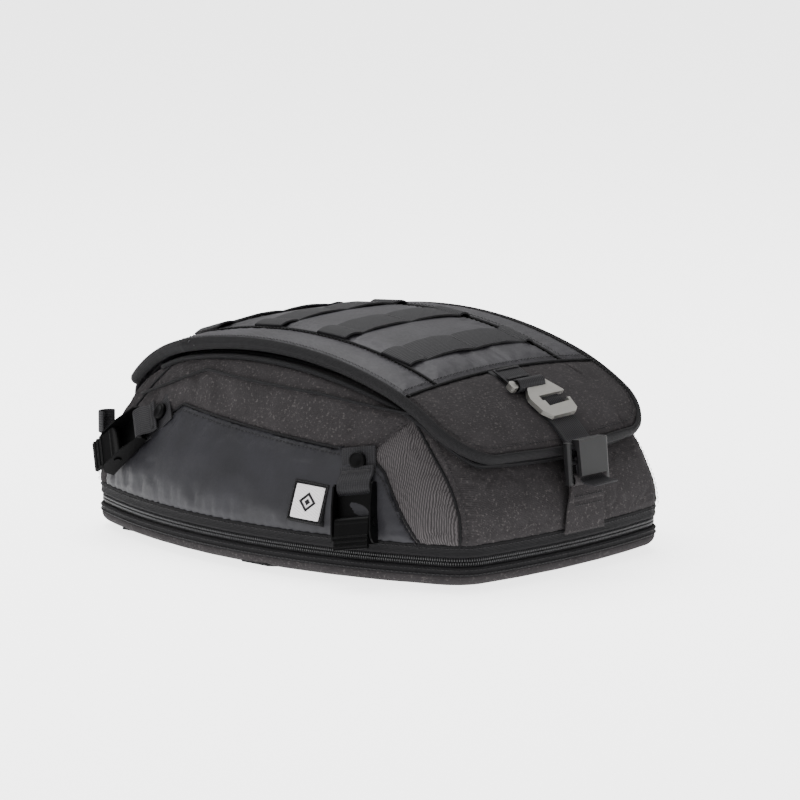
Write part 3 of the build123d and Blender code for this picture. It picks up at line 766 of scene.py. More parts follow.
# ---------------------------------------------------------------- bag's shape
@dataclass
class BagShape:
    """The bag's outer surfaces, in millimetres, with the CAD model's sizes."""

    half_w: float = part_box("lower_band")[1][0] / MM
    half_l: float = 180.0
    side_r: float = 380.0
    end_r: float = 500.0
    corner_r: float = 25.0
    wall_z: float = 31.0
    top_z: float = 151.5
    crown_y: float = 10.08
    crown_r: float = 354.96
    front_r: float = 182.88
    rear_r: float = 140.04
    cross_r: float = 740.0
    front_tangent: float = math.radians(17.2)
    rear_tangent: float = math.radians(12.2)
    rings: dict[
        tuple[float, int, int, int], list[tuple[float, float, float, float]]
    ] = field(default_factory=dict)
    profile: tuple[tuple[float, float], ...] = (
        (31, 0.4), (36, 0.3), (48, 2), (65, 8), (86, 18), (103, 25), (121, 33), (133, 41), (160, 59)
    )

    def __post_init__(self) -> None:
        """Work out the arch's arc centres."""
        zc = self.top_z - self.crown_r
        gap_f, gap_r = self.crown_r - self.front_r, self.crown_r - self.rear_r
        self.crown = (self.crown_y, zc)
        self.front = (
            self.crown_y - gap_f * math.sin(self.front_tangent),
            zc + gap_f * math.cos(self.front_tangent),
        )
        self.rear = (
            self.crown_y + gap_r * math.sin(self.rear_tangent),
            zc + gap_r * math.cos(self.rear_tangent),
        )

    def inset(self, z: float) -> float:
        """Smooth inward lean of the wall at height z."""
        zs = [p[0] for p in self.profile]
        vs = [p[1] for p in self.profile]
        total = 0.0
        for offset, weight in ((-5, 0.25), (0, 0.5), (5, 0.25)):
            total += weight * float(np.interp(z + offset, zs, vs))
        return total if z > 38 else float(np.interp(z, zs, vs))

    def outline(
        self, inset: float, per_side: int = 96, per_end: int = 80, per_corner: int = 14
    ) -> list[tuple[float, float, float, float]]:
        """Plan outline at an inset.

        Args:
            inset: distance inside the widest line.
            per_side: points on each long side.
            per_end: points on each end.
            per_corner: points on each corner.

        Returns:
            (x, y, outward x, outward y) round the bag, from the right side.
        """
        key = (round(inset, 2), per_side, per_end, per_corner)
        if key not in self.rings:
            corner = self.corner_r + 0.3 * inset
            radii = (self.side_r - inset, self.end_r - inset, corner)
            self.rings[key] = self.arc_loop(
                self.half_w - inset, self.half_l - inset, radii, key[1:]
            )
        return self.rings[key]

    def arc_loop(
        self,
        half_w: float,
        half_l: float,
        radii: tuple[float, float, float],
        counts: tuple[int, int, int],
    ) -> list[tuple[float, float, float, float]]:
        """Loop of eight arcs.

        Args:
            half_w: half its width.
            half_l: half its length.
            radii: side, end and corner radii.
            counts: points on a side, an end and a corner.

        Returns:
            (x, y, outward x, outward y) round the loop.
        """
        sr, er, corner = radii
        per_side, per_end, per_corner = counts
        cx, cy = half_w - sr, half_l - er
        ra, rb, gap = sr - corner, er - corner, math.hypot(cx, cy)
        along = (ra * ra - rb * rb + gap * gap) / (2 * gap)
        across = math.sqrt(ra * ra - along * along)
        ux, uy = -cx / gap, cy / gap
        fx, fy = cx + along * ux - across * uy, along * uy + across * ux
        a_side = math.atan2(fy, fx - cx)
        a_end = math.atan2(fy - cy, fx)
        arcs = [
            (cx, 0.0, sr, -a_side, a_side, per_side), (fx, fy, corner, a_side, a_end, per_corner)
        ]
        arcs.append((0.0, cy, er, a_end, math.pi - a_end, per_end))
        arcs.append((-fx, fy, corner, math.pi - a_end, math.pi - a_side, per_corner))
        arcs.append((-cx, 0.0, sr, math.pi - a_side, math.pi + a_side, per_side))
        arcs.append((-fx, -fy, corner, math.pi + a_side, math.pi + a_end, per_corner))
        arcs.append((0.0, -cy, er, math.pi + a_end, 2 * math.pi - a_end, per_end))
        arcs.append((fx, -fy, corner, -a_end, -a_side, per_corner))
        points = []
        for x, y, radius, start, stop, count in arcs:
            for i in range(count):
                angle = start + (stop - start) * i / count
                nx, ny = math.cos(angle), math.sin(angle)
                points.append((x + radius * nx, y + radius * ny, nx, ny))
        return points

    def arch(self, y: float, depth: float = 0.0) -> float:
        """Height of the arch on the centre line."""
        if y < self.crown[0] - (self.crown_r - depth) * math.sin(self.front_tangent):
            centre, radius = self.front, self.front_r - depth
        elif y > self.crown[0] + (self.crown_r - depth) * math.sin(self.rear_tangent):
            centre, radius = self.rear, self.rear_r - depth
        else:
            centre, radius = self.crown, self.crown_r - depth
        return centre[1] + math.sqrt(max(1.0, radius * radius - (y - centre[0]) ** 2))

    def top(self, x: float, y: float, depth: float = 0.0) -> Vector:
        """Point on the arched surface, depth inside the flap's top."""
        base = self.top_z - self.cross_r
        radius = self.arch(y, depth) - base
        return Vector((x, y, base + math.sqrt(radius * radius - x * x)))

    def top_normal(self, x: float, y: float) -> Vector:
        """Outward normal of the arched surface."""
        along = self.top(x, y + 0.5) - self.top(x, y - 0.5)
        across = self.top(x + 0.5, y) - self.top(x - 0.5, y)
        return across.cross(along).normalized()

    def wall_hit(
        self,
        z: float,
        test: Callable[[float, float], float],
        quadrant: tuple[int, int],
        out: float = 0.0,
    ) -> Vector:
        """Point on the wall at height z where a plan test changes sign.

        Args:
            z: the height.
            test: signed value of a plan point.
            quadrant: signs of x and y to look in; 0 takes both.
            out: distance outward.

        Returns:
            The point.
        """
        ring = self.outline(self.inset(z))
        for p, q in zip(ring, ring[1:] + ring[:1]):
            if quadrant[0] * p[0] < 0 or quadrant[1] * p[1] < 0:
                continue
            a, b = test(p[0], p[1]), test(q[0], q[1])
            if a * b <= 0 and a != b:
                t = a / (a - b)
                x, y = p[0] + (q[0] - p[0]) * t, p[1] + (q[1] - p[1]) * t
                return Vector((x + p[2] * out, y + p[3] * out, z))
        return Vector((*ring[0][:2], z))

    def side_point(self, sign: int, y: float, z: float, out: float = 0.0) -> Vector:
        """Point on a long side's wall, moved out."""
        return self.wall_hit(z, lambda px, py: py - y, (sign, 0), out)

    def side_normal(self, sign: int, y: float, z: float) -> Vector:
        """Outward normal of a long side's wall."""
        across = self.side_point(sign, y + 2, z) - self.side_point(sign, y - 2, z)
        up = self.side_point(sign, y, z + 2) - self.side_point(sign, y, z - 2)
        normal = across.cross(up).normalized()
        return normal if normal.x * sign > 0 else -normal


SHAPE = BagShape()
SIDES: dict[str, int] = {"left": -1, "right": 1}


CORNER_LOW_X, CORNER_LOW_Z = 99.0, 31.0
CORNER_LEAN, CORNER_RISE = 8.0, 77.0


def corner_seam(z: float) -> float:
    """Distance of the upright corner seams from the middle at height z."""
    return CORNER_LOW_X - CORNER_LEAN * (z - CORNER_LOW_Z) / CORNER_RISE


def box_corners(node: str) -> tuple[Vector, Vector]:
    """Low and high corners of a CAD node's box, in millimetres."""
    low, high = (Vector(v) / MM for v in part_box(node))
    return low, high


# ------------------------------------------------------------- padded panels
def panel_object(name: str, bm: bmesh.types.BMesh, stuff: Stuff) -> bpy.types.Object:
    """Turn a bmesh into a smooth panel and free it.

    Args:
        name: the panel's name.
        bm: its points and faces, in metres.
        stuff: its finish.

    Returns:
        The new object.
    """
    mesh = bpy.data.meshes.new(name)
    bm.to_mesh(mesh)
    bm.free()
    obj = bpy.data.objects.new(name, mesh)
    bpy.context.scene.collection.objects.link(obj)
    mesh.materials.append(stuff.material)
    mesh.shade_smooth()
    return obj


@dataclass
class PanelGrid:
    """A quilt of cloth points that can be cut along seams and puffed."""

    rows: list[list[Vector]]
    closed: bool = False

    def cut(
        self, name: str, keep: Sequence[tuple[Sequence[float], Sequence[float]]], stuff: Stuff
    ) -> bpy.types.Object:
        """Make one panel by cutting the grid along planes.

        Args:
            name: the panel's name.
            keep: (point, normal) planes in millimetres; the normal's side goes.
            stuff: its finish.

        Returns:
            The panel's mesh object.
        """
        bm = bmesh.new()
        lines = [[bm.verts.new(p * MM) for p in row] for row in self.rows]
        for low, high in zip(lines, lines[1:]):
            count = len(low)
            for i in range(count if self.closed else count - 1):
                k = (i + 1) % count
                bm.faces.new((low[i], low[k], high[k], high[i]))
        for point, normal in keep:
            geom = list(bm.verts) + list(bm.edges) + list(bm.faces)
            bmesh.ops.bisect_plane(
                bm,
                geom=geom,
                dist=1e-7,
                plane_co=Vector(point) * MM,
                plane_no=Vector(normal),
                clear_outer=True,
            )
        bmesh.ops.remove_doubles(bm, verts=bm.verts, dist=0.0001)
        return panel_object(name, bm, stuff)


def outward_vectors(obj: bpy.types.Object) -> np.ndarray:
    """Vertex normals of a mesh as an array."""
    values = np.empty(len(obj.data.vertices) * 3)
    obj.data.vertices.foreach_get("normal", values)
    return values.reshape(-1, 3)


def edge_distances(obj: bpy.types.Object) -> np.ndarray:
    """Distance of each vertex from the panel's cut edge, in metres."""
    bm = bmesh.new()
    bm.from_mesh(obj.data)
    border = [v.co.copy() for v in bm.verts if v.is_boundary]
    border += [e.verts[0].co.lerp(e.verts[1].co, 0.5) for e in bm.edges if e.is_boundary]
    tree = KDTree(len(border))
    for i, point in enumerate(border):
        tree.insert(point, i)
    tree.balance()
    result = np.array([tree.find(v.co)[2] for v in bm.verts])
    bm.free()
    return result


@dataclass(frozen=True)
class Softness:
    """How a sewn panel stands off its frame, in millimetres."""

    puff: float = 1.6
    groove: float = 1.1
    reach: float = 14.0
    seam: float = 3.2
    wrinkle: float = 0.9
    crease: float = 1.0
    scale: float = 16.0
    seed: float = 0.0

    def apply(self, obj: bpy.types.Object, fold: Callable[[Vector], float] | None = None) -> None:
        """Puff and crease a panel along its normals.

        Args:
            obj: the panel.
            fold: extra lift in millimetres at a point given in millimetres.
        """
        normals = outward_vectors(obj)
        gaps = edge_distances(obj) / MM
        mesh = obj.data
        for i, vertex in enumerate(mesh.vertices):
            gap = float(gaps[i])
            inside = 1.0 - math.exp(-gap / self.reach)
            lift = self.puff * inside - self.groove * math.exp(-((gap / self.seam) ** 2))
            spot = vertex.co * self.scale + Vector((self.seed, self.seed * 1.7, 0))
            lift += self.wrinkle * inside * noise.noise(spot)
            ridge = 1.0 - abs(
                noise.noise(
                    Vector((spot.x * 0.9, spot.y * 1.6, spot.z * 1.9)) + Vector((3.1, 0, self.seed))
                )
            ) * 2.6
            lift += self.crease * max(0.0, ridge - 0.35) * min(1.0, gap / 8.0)
            pucker = math.sin(vertex.co.y * 620 + vertex.co.x * 540 + vertex.co.z * 380)
            lift += 0.22 * pucker * math.exp(-((gap / 6.0) ** 2)) * min(1.0, gap / 1.5)
            if fold:
                lift += fold(vertex.co / MM) * min(1.0, gap / 10.0)
            vertex.co += Vector(normals[i]) * lift * MM
        mesh.update()


def simulate_panels(
    panels: Sequence[bpy.types.Object], pressure: float = 4.0, frames: int = 14, cap: float = 0.9
) -> None:
    """Blow pinned panels out with the cloth solver, then keep the folds it made.

    Args:
        panels: open panels, pinned along their cut edges.
        pressure: air pressure behind the cloth.
        frames: how long the solver runs.
        cap: furthest a point may move, in millimetres.
    """
    scene = bpy.context.scene
    scene.frame_start, scene.frame_end = 1, frames
    before: list[list[Vector]] = []
    for panel in panels:
        before.append([v.co.copy() for v in panel.data.vertices])
        group = panel.vertex_groups.new(name="sewn_edge")
        gaps = edge_distances(panel)
        for i, gap in enumerate(gaps):
            group.add([i], max(0.0, 1.0 - float(gap) / 0.012), "REPLACE")
        cloth = panel.modifiers.new("blown", "CLOTH")
        settings = cloth.settings
        settings.quality = 5
        settings.mass = 0.3
        settings.tension_stiffness = settings.compression_stiffness = 12.0
        settings.shear_stiffness = 6.0
        settings.bending_stiffness = 0.6
        settings.vertex_group_mass = "sewn_edge"
        settings.use_pressure = True
        settings.uniform_pressure_force = pressure
        settings.effector_weights.gravity = 0.0
        settings.shrink_min = -0.03
        cloth.point_cache.frame_start, cloth.point_cache.frame_end = 1, frames
    for number in range(1, frames + 1):
        scene.frame_set(number)
    graph = bpy.context.evaluated_depsgraph_get()
    for panel, rest in zip(panels, before):
        moved = panel.evaluated_get(graph).to_mesh()
        places = [v.co.copy() for v in moved.vertices]
        panel.evaluated_get(graph).to_mesh_clear()
        panel.modifiers.clear()
        panel.vertex_groups.clear()
        for vertex, old, new in zip(panel.data.vertices, rest, places):
            shift = new - old
            length = shift.length
            if not math.isfinite(length):
                continue
            if length > cap * MM:
                shift *= cap * MM / length
            vertex.co = old + shift
        panel.data.update()
    scene.frame_set(1)


# ----------------------------------------------------------------- the pieces
@dataclass
class BaseTray:
    """Bottom panel, lower band and under tabs."""

    band_low: float = 10.8
    band_high: float = 17.0

    def build(self) -> None:
        """Make the bottom panel, the lower band with its stitches and the under tabs."""
        self.underside()
        self.band()
        self.under_tabs()

    def underside(self) -> None:
        """Make the canvas bottom that rises to the band."""
        levels = (
            (46.0, 2.1), (40.0, 2.05), (34.0, 2.1), (28.0, 2.2), (20.0, 2.8), (12.0, 3.7),
            (6.0, 4.2), (3.4, 5.2), (2.0, 6.6), (1.2, 8.2), (0.9, 9.8), (1.2, 11.6),
        )
        rows = []
        for inset, z in levels:
            ring = SHAPE.outline(inset, 60, 50, 10)
            rows.append(
                [
                    Vector(
                        (x, y, z + 0.25 * noise.noise(Vector((x, y, 0)) * 0.05) * min(1, inset / 8))
                    )
                    for x, y, _, _ in ring
                ]
            )
        centre = [Vector((0, 0, 2.2))] * len(rows[0])
        middle = [
            [c.lerp(p, share) for c, p in zip(centre, rows[0])] for share in (0.001, 0.3, 0.6, 0.85)
        ]
        obj = PanelGrid(middle + rows, closed=True).cut("bottom_cloth", [], Stuff.CANVAS)
        finish_normals(obj)
        thicken(obj, 2.4)
        put(obj, "base", "canvas", "bottom_panel")

    def band(self) -> None:
        """Make the sewn band round the bottom edge."""
        height = self.band_high - self.band_low
        obj = edge_band("lower_band_tape", self.band_low, height, 1.9, Stuff.TAPE)
        put(obj, "base", "binding", "lower_band")
        for z, name in ((15.4, "band_stitch_high"), (12.3, "band_stitch_low")):
            line = [
                Vector((x + nx * 1.55, y + ny * 1.55, z)) for x, y, nx, ny in SHAPE.outline(1.9)
            ]
            line.append(line[0])
            put(stitches(name, line, outward_level), "base", "binding")

    def under_tabs(self) -> None:
        """Make the four webbing tabs sewn under the rim."""
        for end in ("front", "rear"):
            for side, sign in SIDES.items():
                low, high = box_corners(f"under_tab_{end}_{side}")
                mid = (low.y + high.y) / 2
                outer = high.x if sign > 0 else low.x
                inner = low.x if sign > 0 else high.x
                slope = high.z - low.z - 1.6
                path = [
                    Vector(
                        (
                            inner + (outer - inner) * t,
                            mid,
                            low.z + 0.1 + slope * t**1.2 - 0.2 * math.sin(t * math.pi),
                        )
                    )
                    for t in np.linspace(0, 1, 14)
                ]
                normals = [Vector((0, 0, 1))] * len(path)
                obj = strap(f"under_webbing_{end}_{side}", path, normals, WEB_WIDTH)
                put(obj, "base", "webbing", f"under_tab_{end}_{side}")


def outward_level(point: Vector) -> Vector:
    """Level outward direction at a point near the outline."""
    near = SHAPE.outline(2.0, 24, 20, 8)
    best = min(near, key=lambda p: (p[0] - point.x) ** 2 + (p[1] - point.y) ** 2)
    return Vector((best[2], best[3], 0)).normalized()


def edge_band(
    name: str, low: float, height: float, inset: float, stuff: Stuff, bulge: float = 1.7
) -> bpy.types.Object:
    """A soft folded tape running round the bag's outline.

    Args:
        name: the piece's name.
        low: its lower edge's height.
        height: its width upward.
        inset: how far its back is inside the widest line.
        stuff: its finish.
        bulge: how far its face stands out.

    Returns:
        The new object.
    """
    section = [
        (-1.4, 0.0),
        (0.4, -0.1),
        (bulge * 0.8, 0.5),
        (bulge, 1.6),
        (bulge * 0.86, height * 0.3),
        (bulge * 0.8, height * 0.5),
        (bulge * 0.86, height * 0.7),
    ]
    section += [
        (bulge, height - 1.6), (bulge * 0.8, height - 0.5), (0.4, height + 0.1), (-1.4, height)
    ]
    ring = SHAPE.outline(inset)
    verts, faces = [], []
    count, side = len(ring), len(section)
    length = 0.0
    lengths = []
    for i, (x, y, nx, ny) in enumerate(ring):
        px, py = ring[i - 1][0], ring[i - 1][1]
        length += math.hypot(x - px, y - py) if i else 0.0
        lengths.append(length)
        ripple = 0.22 * noise.noise(Vector((x, y, low)) * 0.07) + 0.1 * math.sin(length * 0.9)
        for out, up in section:
            extra = ripple if out > 0.5 else 0.0
            verts.append((x + nx * (out + extra), y + ny * (out + extra), low + up))
    for i in range(count):
        a, b = i * side, ((i + 1) % count) * side
        for j in range(side):
            k = (j + 1) % side
            faces.append((a + j, b + j, b + k, a + k))
    obj = make_object(name, verts, faces, stuff)
    layer = obj.data.uv_layers.new(name="UVMap")
    for i in range(count):
        step = lengths[i + 1] - lengths[i] if i + 1 < count else 3.0
        for j in range(side):
            poly = obj.data.polygons[i * side + j]
            spots = ((0, j), (1, j), (1, j + 1), (0, j + 1))
            for loop, (u, v) in zip(poly.loop_indices, spots):
                layer.data[loop].uv = (v * 1.6 * MM, (lengths[i] + u * step) * MM)
    finish_normals(obj)
    return obj


@dataclass
class ExpansionZip:
    """The round zip: two halves with teeth, and the gusset behind."""

    low: float = 17.0
    middle: float = 20.5
    high: float = 24.0
    tooth_pitch: float = 1.6

    def build(self) -> None:
        """Make both zip halves and the gusset."""
        self.half("zip_lower_half", self.low, self.middle - 0.3, "base", "zipper_lower_half", -1)
        self.half(
            "zip_upper_half", self.middle + 0.3, self.high, "upper_body", "zipper_upper_half", 1
        )
        self.gusset()

    def half(self, name: str, low: float, high: float, body: str, node: str, up: int) -> None:
        """Make one tape with its row of teeth.

        Args:
            name: the piece's name.
            low: lower edge height.
            high: upper edge height.
            body: the body it rides.
            node: the CAD node it stands for.
            up: 1 for the upper half, -1 for the lower.
        """
        edge = low if up > 0 else high
        tape = edge_band(f"{name}_tape", low, high - low, 2.9, Stuff.TAPE, bulge=0.9)
        teeth = self.teeth(f"{name}_teeth", edge, up)
        for obj in (tape, teeth):
            put(obj, body, "zip", node)

    def teeth(self, name: str, edge: float, up: int) -> bpy.types.Object:
        """Make the coil's loops along one edge.

        Args:
            name: the piece's name.
            edge: height of the tape's free edge.
            up: 1 when the tape is above the teeth.

        Returns:
            The joined teeth.
        """
        ring = [Vector((x, y, 0)) for x, y, _, _ in SHAPE.outline(2.9)]
        ring.append(ring[0])
        spots = even_path(ring, self.tooth_pitch)[:-1]
        if up > 0:
            spots = [a.lerp(b, 0.5) for a, b in zip(spots, spots[1:] + spots[:1])]
        verts: list[Vector] = []
        faces: list[tuple[int, ...]] = []
        section = [(-0.48, 0.0), (-0.26, 0.75), (0.26, 0.75), (0.48, 0.0)]
        for i, spot in enumerate(spots):
            tangent = (spots[(i + 1) % len(spots)] - spots[i - 1]).normalized()
            out = Vector((tangent.y, -tangent.x, 0))
            start = len(verts)
            for reach, lift in ((-0.28, 0.35), (0.25, 1.0), (1.3, 1.05), (2.1, 0.5)):
                for along, thick in section:
                    foot = spot + tangent * along * (1.0 if reach < 2 else 0.7)
                    verts.append(foot + out * (lift + thick) + Vector((0, 0, edge + up * reach)))
            for r in range(3):
                for j in range(3):
                    p = start + r * 4 + j
                    faces.append((p, p + 1, p + 5, p + 4))
            faces.append((start, start + 3, start + 2, start + 1))
            faces.append((start + 12, start + 13, start + 14, start + 15))
        return make_object(name, verts, faces, Stuff.TEETH, smooth=False)

    def gusset(self) -> None:
        """Make the hidden cloth that sits behind the zip."""
        rows = []
        for z in np.linspace(15.5, 25.5, 9):
            ring = SHAPE.outline(5.5, 60, 50, 8)
            rows.append([Vector((x, y, float(z))) for x, y, _, _ in ring])
        obj = PanelGrid(rows, closed=True).cut("gusset_cloth", [], Stuff.LINING)
        thicken(obj, 0.8)
        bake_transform(obj)
        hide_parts("expansion_gusset")


def split_panels(
    grid: PanelGrid,
    planes: Sequence[tuple[Point, Point]],
    region: Callable[[Vector], str],
    stuffs: dict[str, Stuff],
) -> dict[str, bpy.types.Object]:
    """Cut a grid along planes and sort its faces into panels.

    Args:
        grid: the whole surface.
        planes: (point, normal) of every seam, in millimetres.
        region: names the panel that a point in millimetres is on.
        stuffs: finish of each panel, by the start of its name.

    Returns:
        The panels by name.
    """
    whole = grid.cut("whole", [], Stuff.CANVAS)
    bm = bmesh.new()
    bm.from_mesh(whole.data)
    for point, normal in planes:
        geom = list(bm.verts) + list(bm.edges) + list(bm.faces)
        bmesh.ops.bisect_plane(
            bm, geom=geom, dist=2e-5, plane_co=Vector(point) * MM, plane_no=Vector(normal)
        )
    names = [region(face.calc_center_median() / MM) for face in bm.faces]
    panels = {}
    for name in sorted(set(names)):
        part = bm.copy()
        part.faces.ensure_lookup_table()
        drop = [face for face, own in zip(part.faces, names) if own != name]
        bmesh.ops.delete(part, geom=drop, context="FACES")
        bmesh.ops.dissolve_degenerate(part, dist=1e-4, edges=part.edges)
        stuff = next(value for key, value in stuffs.items() if name.startswith(key))
        panels[name] = panel_object(name, part, stuff)
    bm.free()
    bpy.data.objects.remove(whole)
    return panels


@dataclass
class UpperShell:
    """The padded walls, their seams, the rim and the lid."""

    rows: int = 46
    leather: tuple[tuple[float, float], ...] = (
        (-143, 24), (-108, 74), (-93, 85), (78, 97), (154, 42)
    )
    wedge: tuple[float, float] = (-115, 108)
    lid_rear: float = 142.5

    def build(self) -> None:
        """Cut, puff and sew every wall panel, then close the top."""
        self.walls()
        self.seams()
        obj = edge_band("upper_band_tape", 23.6, 8.4, 1.9, Stuff.TAPE)
        put(obj, "upper_body", "binding", "upper_band")
        line = [Vector((x + nx * 1.5, y + ny * 1.5, 29.6)) for x, y, nx, ny in SHAPE.outline(1.9)]
        put(stitches("upper_band_stitch", line + line[:1], outward_level), "upper_body", "binding")
        self.rim_and_lid()
        self.hinge_strip()

    def wall_rows(self) -> list[list[Vector]]:
        """Points of the whole wall from the band up to the rim."""
        heights = [float(z) for z in np.linspace(SHAPE.wall_z - 1.0, 150.0, 90)]
        columns = list(zip(*[SHAPE.outline(SHAPE.inset(z)) for z in heights]))
        result: list[list[Vector]] = [[] for _ in range(self.rows)]
        for column in columns:
            line = [Vector((p[0], p[1], z)) for p, z in zip(column, heights)]
            stop = next(
                (k for k, p in enumerate(line) if p.z > SHAPE.top(p.x, p.y, RIM_DEPTH).z),
                len(line) - 1,
            )
            low, high = line[stop - 1], line[stop]
            for _ in range(10):
                mid = low.lerp(high, 0.5)
                above = mid.z > SHAPE.top(mid.x, mid.y, RIM_DEPTH).z
                low, high = (low, mid) if above else (mid, high)
            line = line[:stop] + [low]
            total = np.cumsum([0.0] + [(b - a).length for a, b in zip(line, line[1:])])
            for r in range(self.rows):
                want = total[-1] * r / (self.rows - 1)
                k = min(len(line) - 2, int(np.searchsorted(total, want, side="right")) - 1)
                share = (want - total[k]) / max(1e-9, total[k + 1] - total[k])
                result[r].append(line[k].lerp(line[k + 1], float(share)))
        self.top_loop = result[-1]
        return result

    def region(self, point: Vector) -> str:
        """Name the wall panel a point is on."""
        side = "left" if point.x < 0 else "right"
        if abs(point.x) < corner_seam(point.z) and abs(point.y) > 60:
            return "front_wall" if point.y < 0 else "rear_wall"
        y, z = point.y, point.z
        pts = [(-152.0, 10.0), *self.leather, (154.0, 10.0)]
        inside = all(
            (b[0] - a[0]) * (z - a[1]) - (b[1] - a[1]) * (y - a[0]) <= 0
            for a, b in zip(pts, pts[1:] + pts[:1])
        )
        if inside:
            return f"side_wall_{side}"
        (y0, z0), (y1, z1) = self.leather[2], self.wedge
        ahead = (y1 - y0) * (z - z0) - (z1 - z0) * (y - y0) > 0
        return f"corner_wall_{side}" if ahead and y < 0 else f"shoulder_wall_{side}"

    def walls(self) -> None:
        """Make the wall panels."""
        planes = []
        for sign in SIDES.values():
            planes.append(
                ((sign * CORNER_LOW_X, 0, CORNER_LOW_Z), (CORNER_RISE * sign, 0, CORNER_LEAN))
            )
        for a, b in [*zip(self.leather, self.leather[1:]), (self.leather[2], self.wedge)]:
            planes.append(((0, *a), (0, -(b[1] - a[1]), b[0] - a[0])))
        stuffs = {
            "front": Stuff.CANVAS, "rear": Stuff.CANVAS, "side": Stuff.COATED,
            "corner": Stuff.TWILL, "shoulder": Stuff.CANVAS,
        }
        panels = split_panels(PanelGrid(self.wall_rows(), closed=True), planes, self.region, stuffs)
        simulate_panels([panels[n] for n in sorted(panels)])
        for number, (name, obj) in enumerate(sorted(panels.items())):
            leather = name.startswith("side")
            soft = Softness(
                puff=0.8 if name.startswith("shoulder") else 1.5,
                wrinkle=0.8 if leather else 0.6,
                crease=0.9 if leather else 0.35,
                scale=13.0,
                seed=number * 1.3,
            )
            soft.apply(obj, self.side_folds if leather else None)
            thicken(obj, 3.0)
            node = name.replace("_wall", "_panel")
            slot = {"side": "coated", "corner": "twill"}.get(name.split("_")[0], "canvas")
            put(obj, "upper_body", slot, node)

    def side_folds(self, point: Vector) -> float:
        """Soft upright folds near the front edge and behind the rear buckle."""
        total = 0.0
        for y, lean, width, depth in (
            (-122, 0.35, 5.5, 1.1), (-104, 0.2, 8.0, 0.8), (-30, 0.1, 16.0, 0.6),
            (48, -0.25, 8.0, 1.0), (66, -0.35, 6.0, 0.8), (88, -0.45, 6.0, 1.0),
        ):
            gap = (point.y - y - lean * (point.z - 50)) / width
            total += depth * math.exp(-gap * gap) - 0.6 * depth * math.exp(-((gap - 1.6) ** 2))
        return total * (0.6 + 0.4 * math.sin(point.z * 0.07))

    def seams(self) -> None:
        """Lay seam cords and stitch rows along the wall's seams."""
        for side, sign in SIDES.items():
            pts = [(-140.0, 31.5), *self.leather[1:4], (150.0, 45.0)]
            line = [
                SHAPE.side_point(sign, a[0] + (b[0] - a[0]) * t, a[1] + (b[1] - a[1]) * t, -0.2)
                for a, b in zip(pts, pts[1:])
                for t in np.linspace(0, 1, 24)
            ]
            line = even_path(line, 2.5)
            normal = lambda p, s=sign: SHAPE.side_normal(s, p.y, p.z)
            low = [p + Vector((0, 0, -3.4)) for p in line]
            low = [SHAPE.side_point(sign, p.y, p.z, 0.55) for p in low]
            put(
                tube(
                    f"leather_seam_cord_{side}",
                    [p + (p - Vector((p.x * 1.01, p.y, p.z))) * 0.3 for p in line],
                    0.9,
                    Stuff.CORD,
                ),
                "upper_body",
                "coated",
            )
            put(stitches(f"leather_stitch_{side}", low, normal), "upper_body", "coated")
            a, b = self.leather[2], self.wedge
            line = [
                SHAPE.side_point(
                    sign, a[0] + (b[0] - a[0]) * t, a[1] + (b[1] - a[1]) * t + 2.6, 0.7
                )
                for t in np.linspace(0, 1, 14)
            ]
            put(stitches(f"wedge_stitch_{side}", line, normal), "upper_body", "canvas")
            line = [
                SHAPE.side_point(
                    sign,
                    y,
                    float(np.interp(y, (-118, -44, 60, 128), (112.0, 119.0, 122.0, 96.0))),
                    2.3,
                )
                for y in np.linspace(-118, 128, 60)
            ]
            put(tube(f"shoulder_cord_{side}", line, 1.1, Stuff.CORD), "upper_body", "canvas")
            for end, way in (("front", -1), ("rear", 1)):
                line, seam = [], []
                for z in np.linspace(31.5, 118.0, 40):
                    spot = SHAPE.wall_hit(
                        float(z), lambda x, y, z=z: abs(x) - corner_seam(z), (sign, way), -0.7
                    )
                    if spot.z > SHAPE.top(spot.x, spot.y, RIM_DEPTH).z + 0.5:
                        break
                    seam.append(spot)
                    line.append(
                        SHAPE.wall_hit(
                            float(z),
                            lambda x, y, z=z: abs(x) - corner_seam(z) + 3.2,
                            (sign, way),
                            1.2,
                        )
                    )
                put(
                    tube(f"corner_seam_cord_{end}_{side}", seam, 0.9, Stuff.CORD),
                    "upper_body",
                    "canvas",
                )
                middle = lambda p: Vector((p.x * 0.4, p.y, 25)).normalized()
                put(stitches(f"corner_stitch_{end}_{side}", line, middle), "upper_body", "canvas")

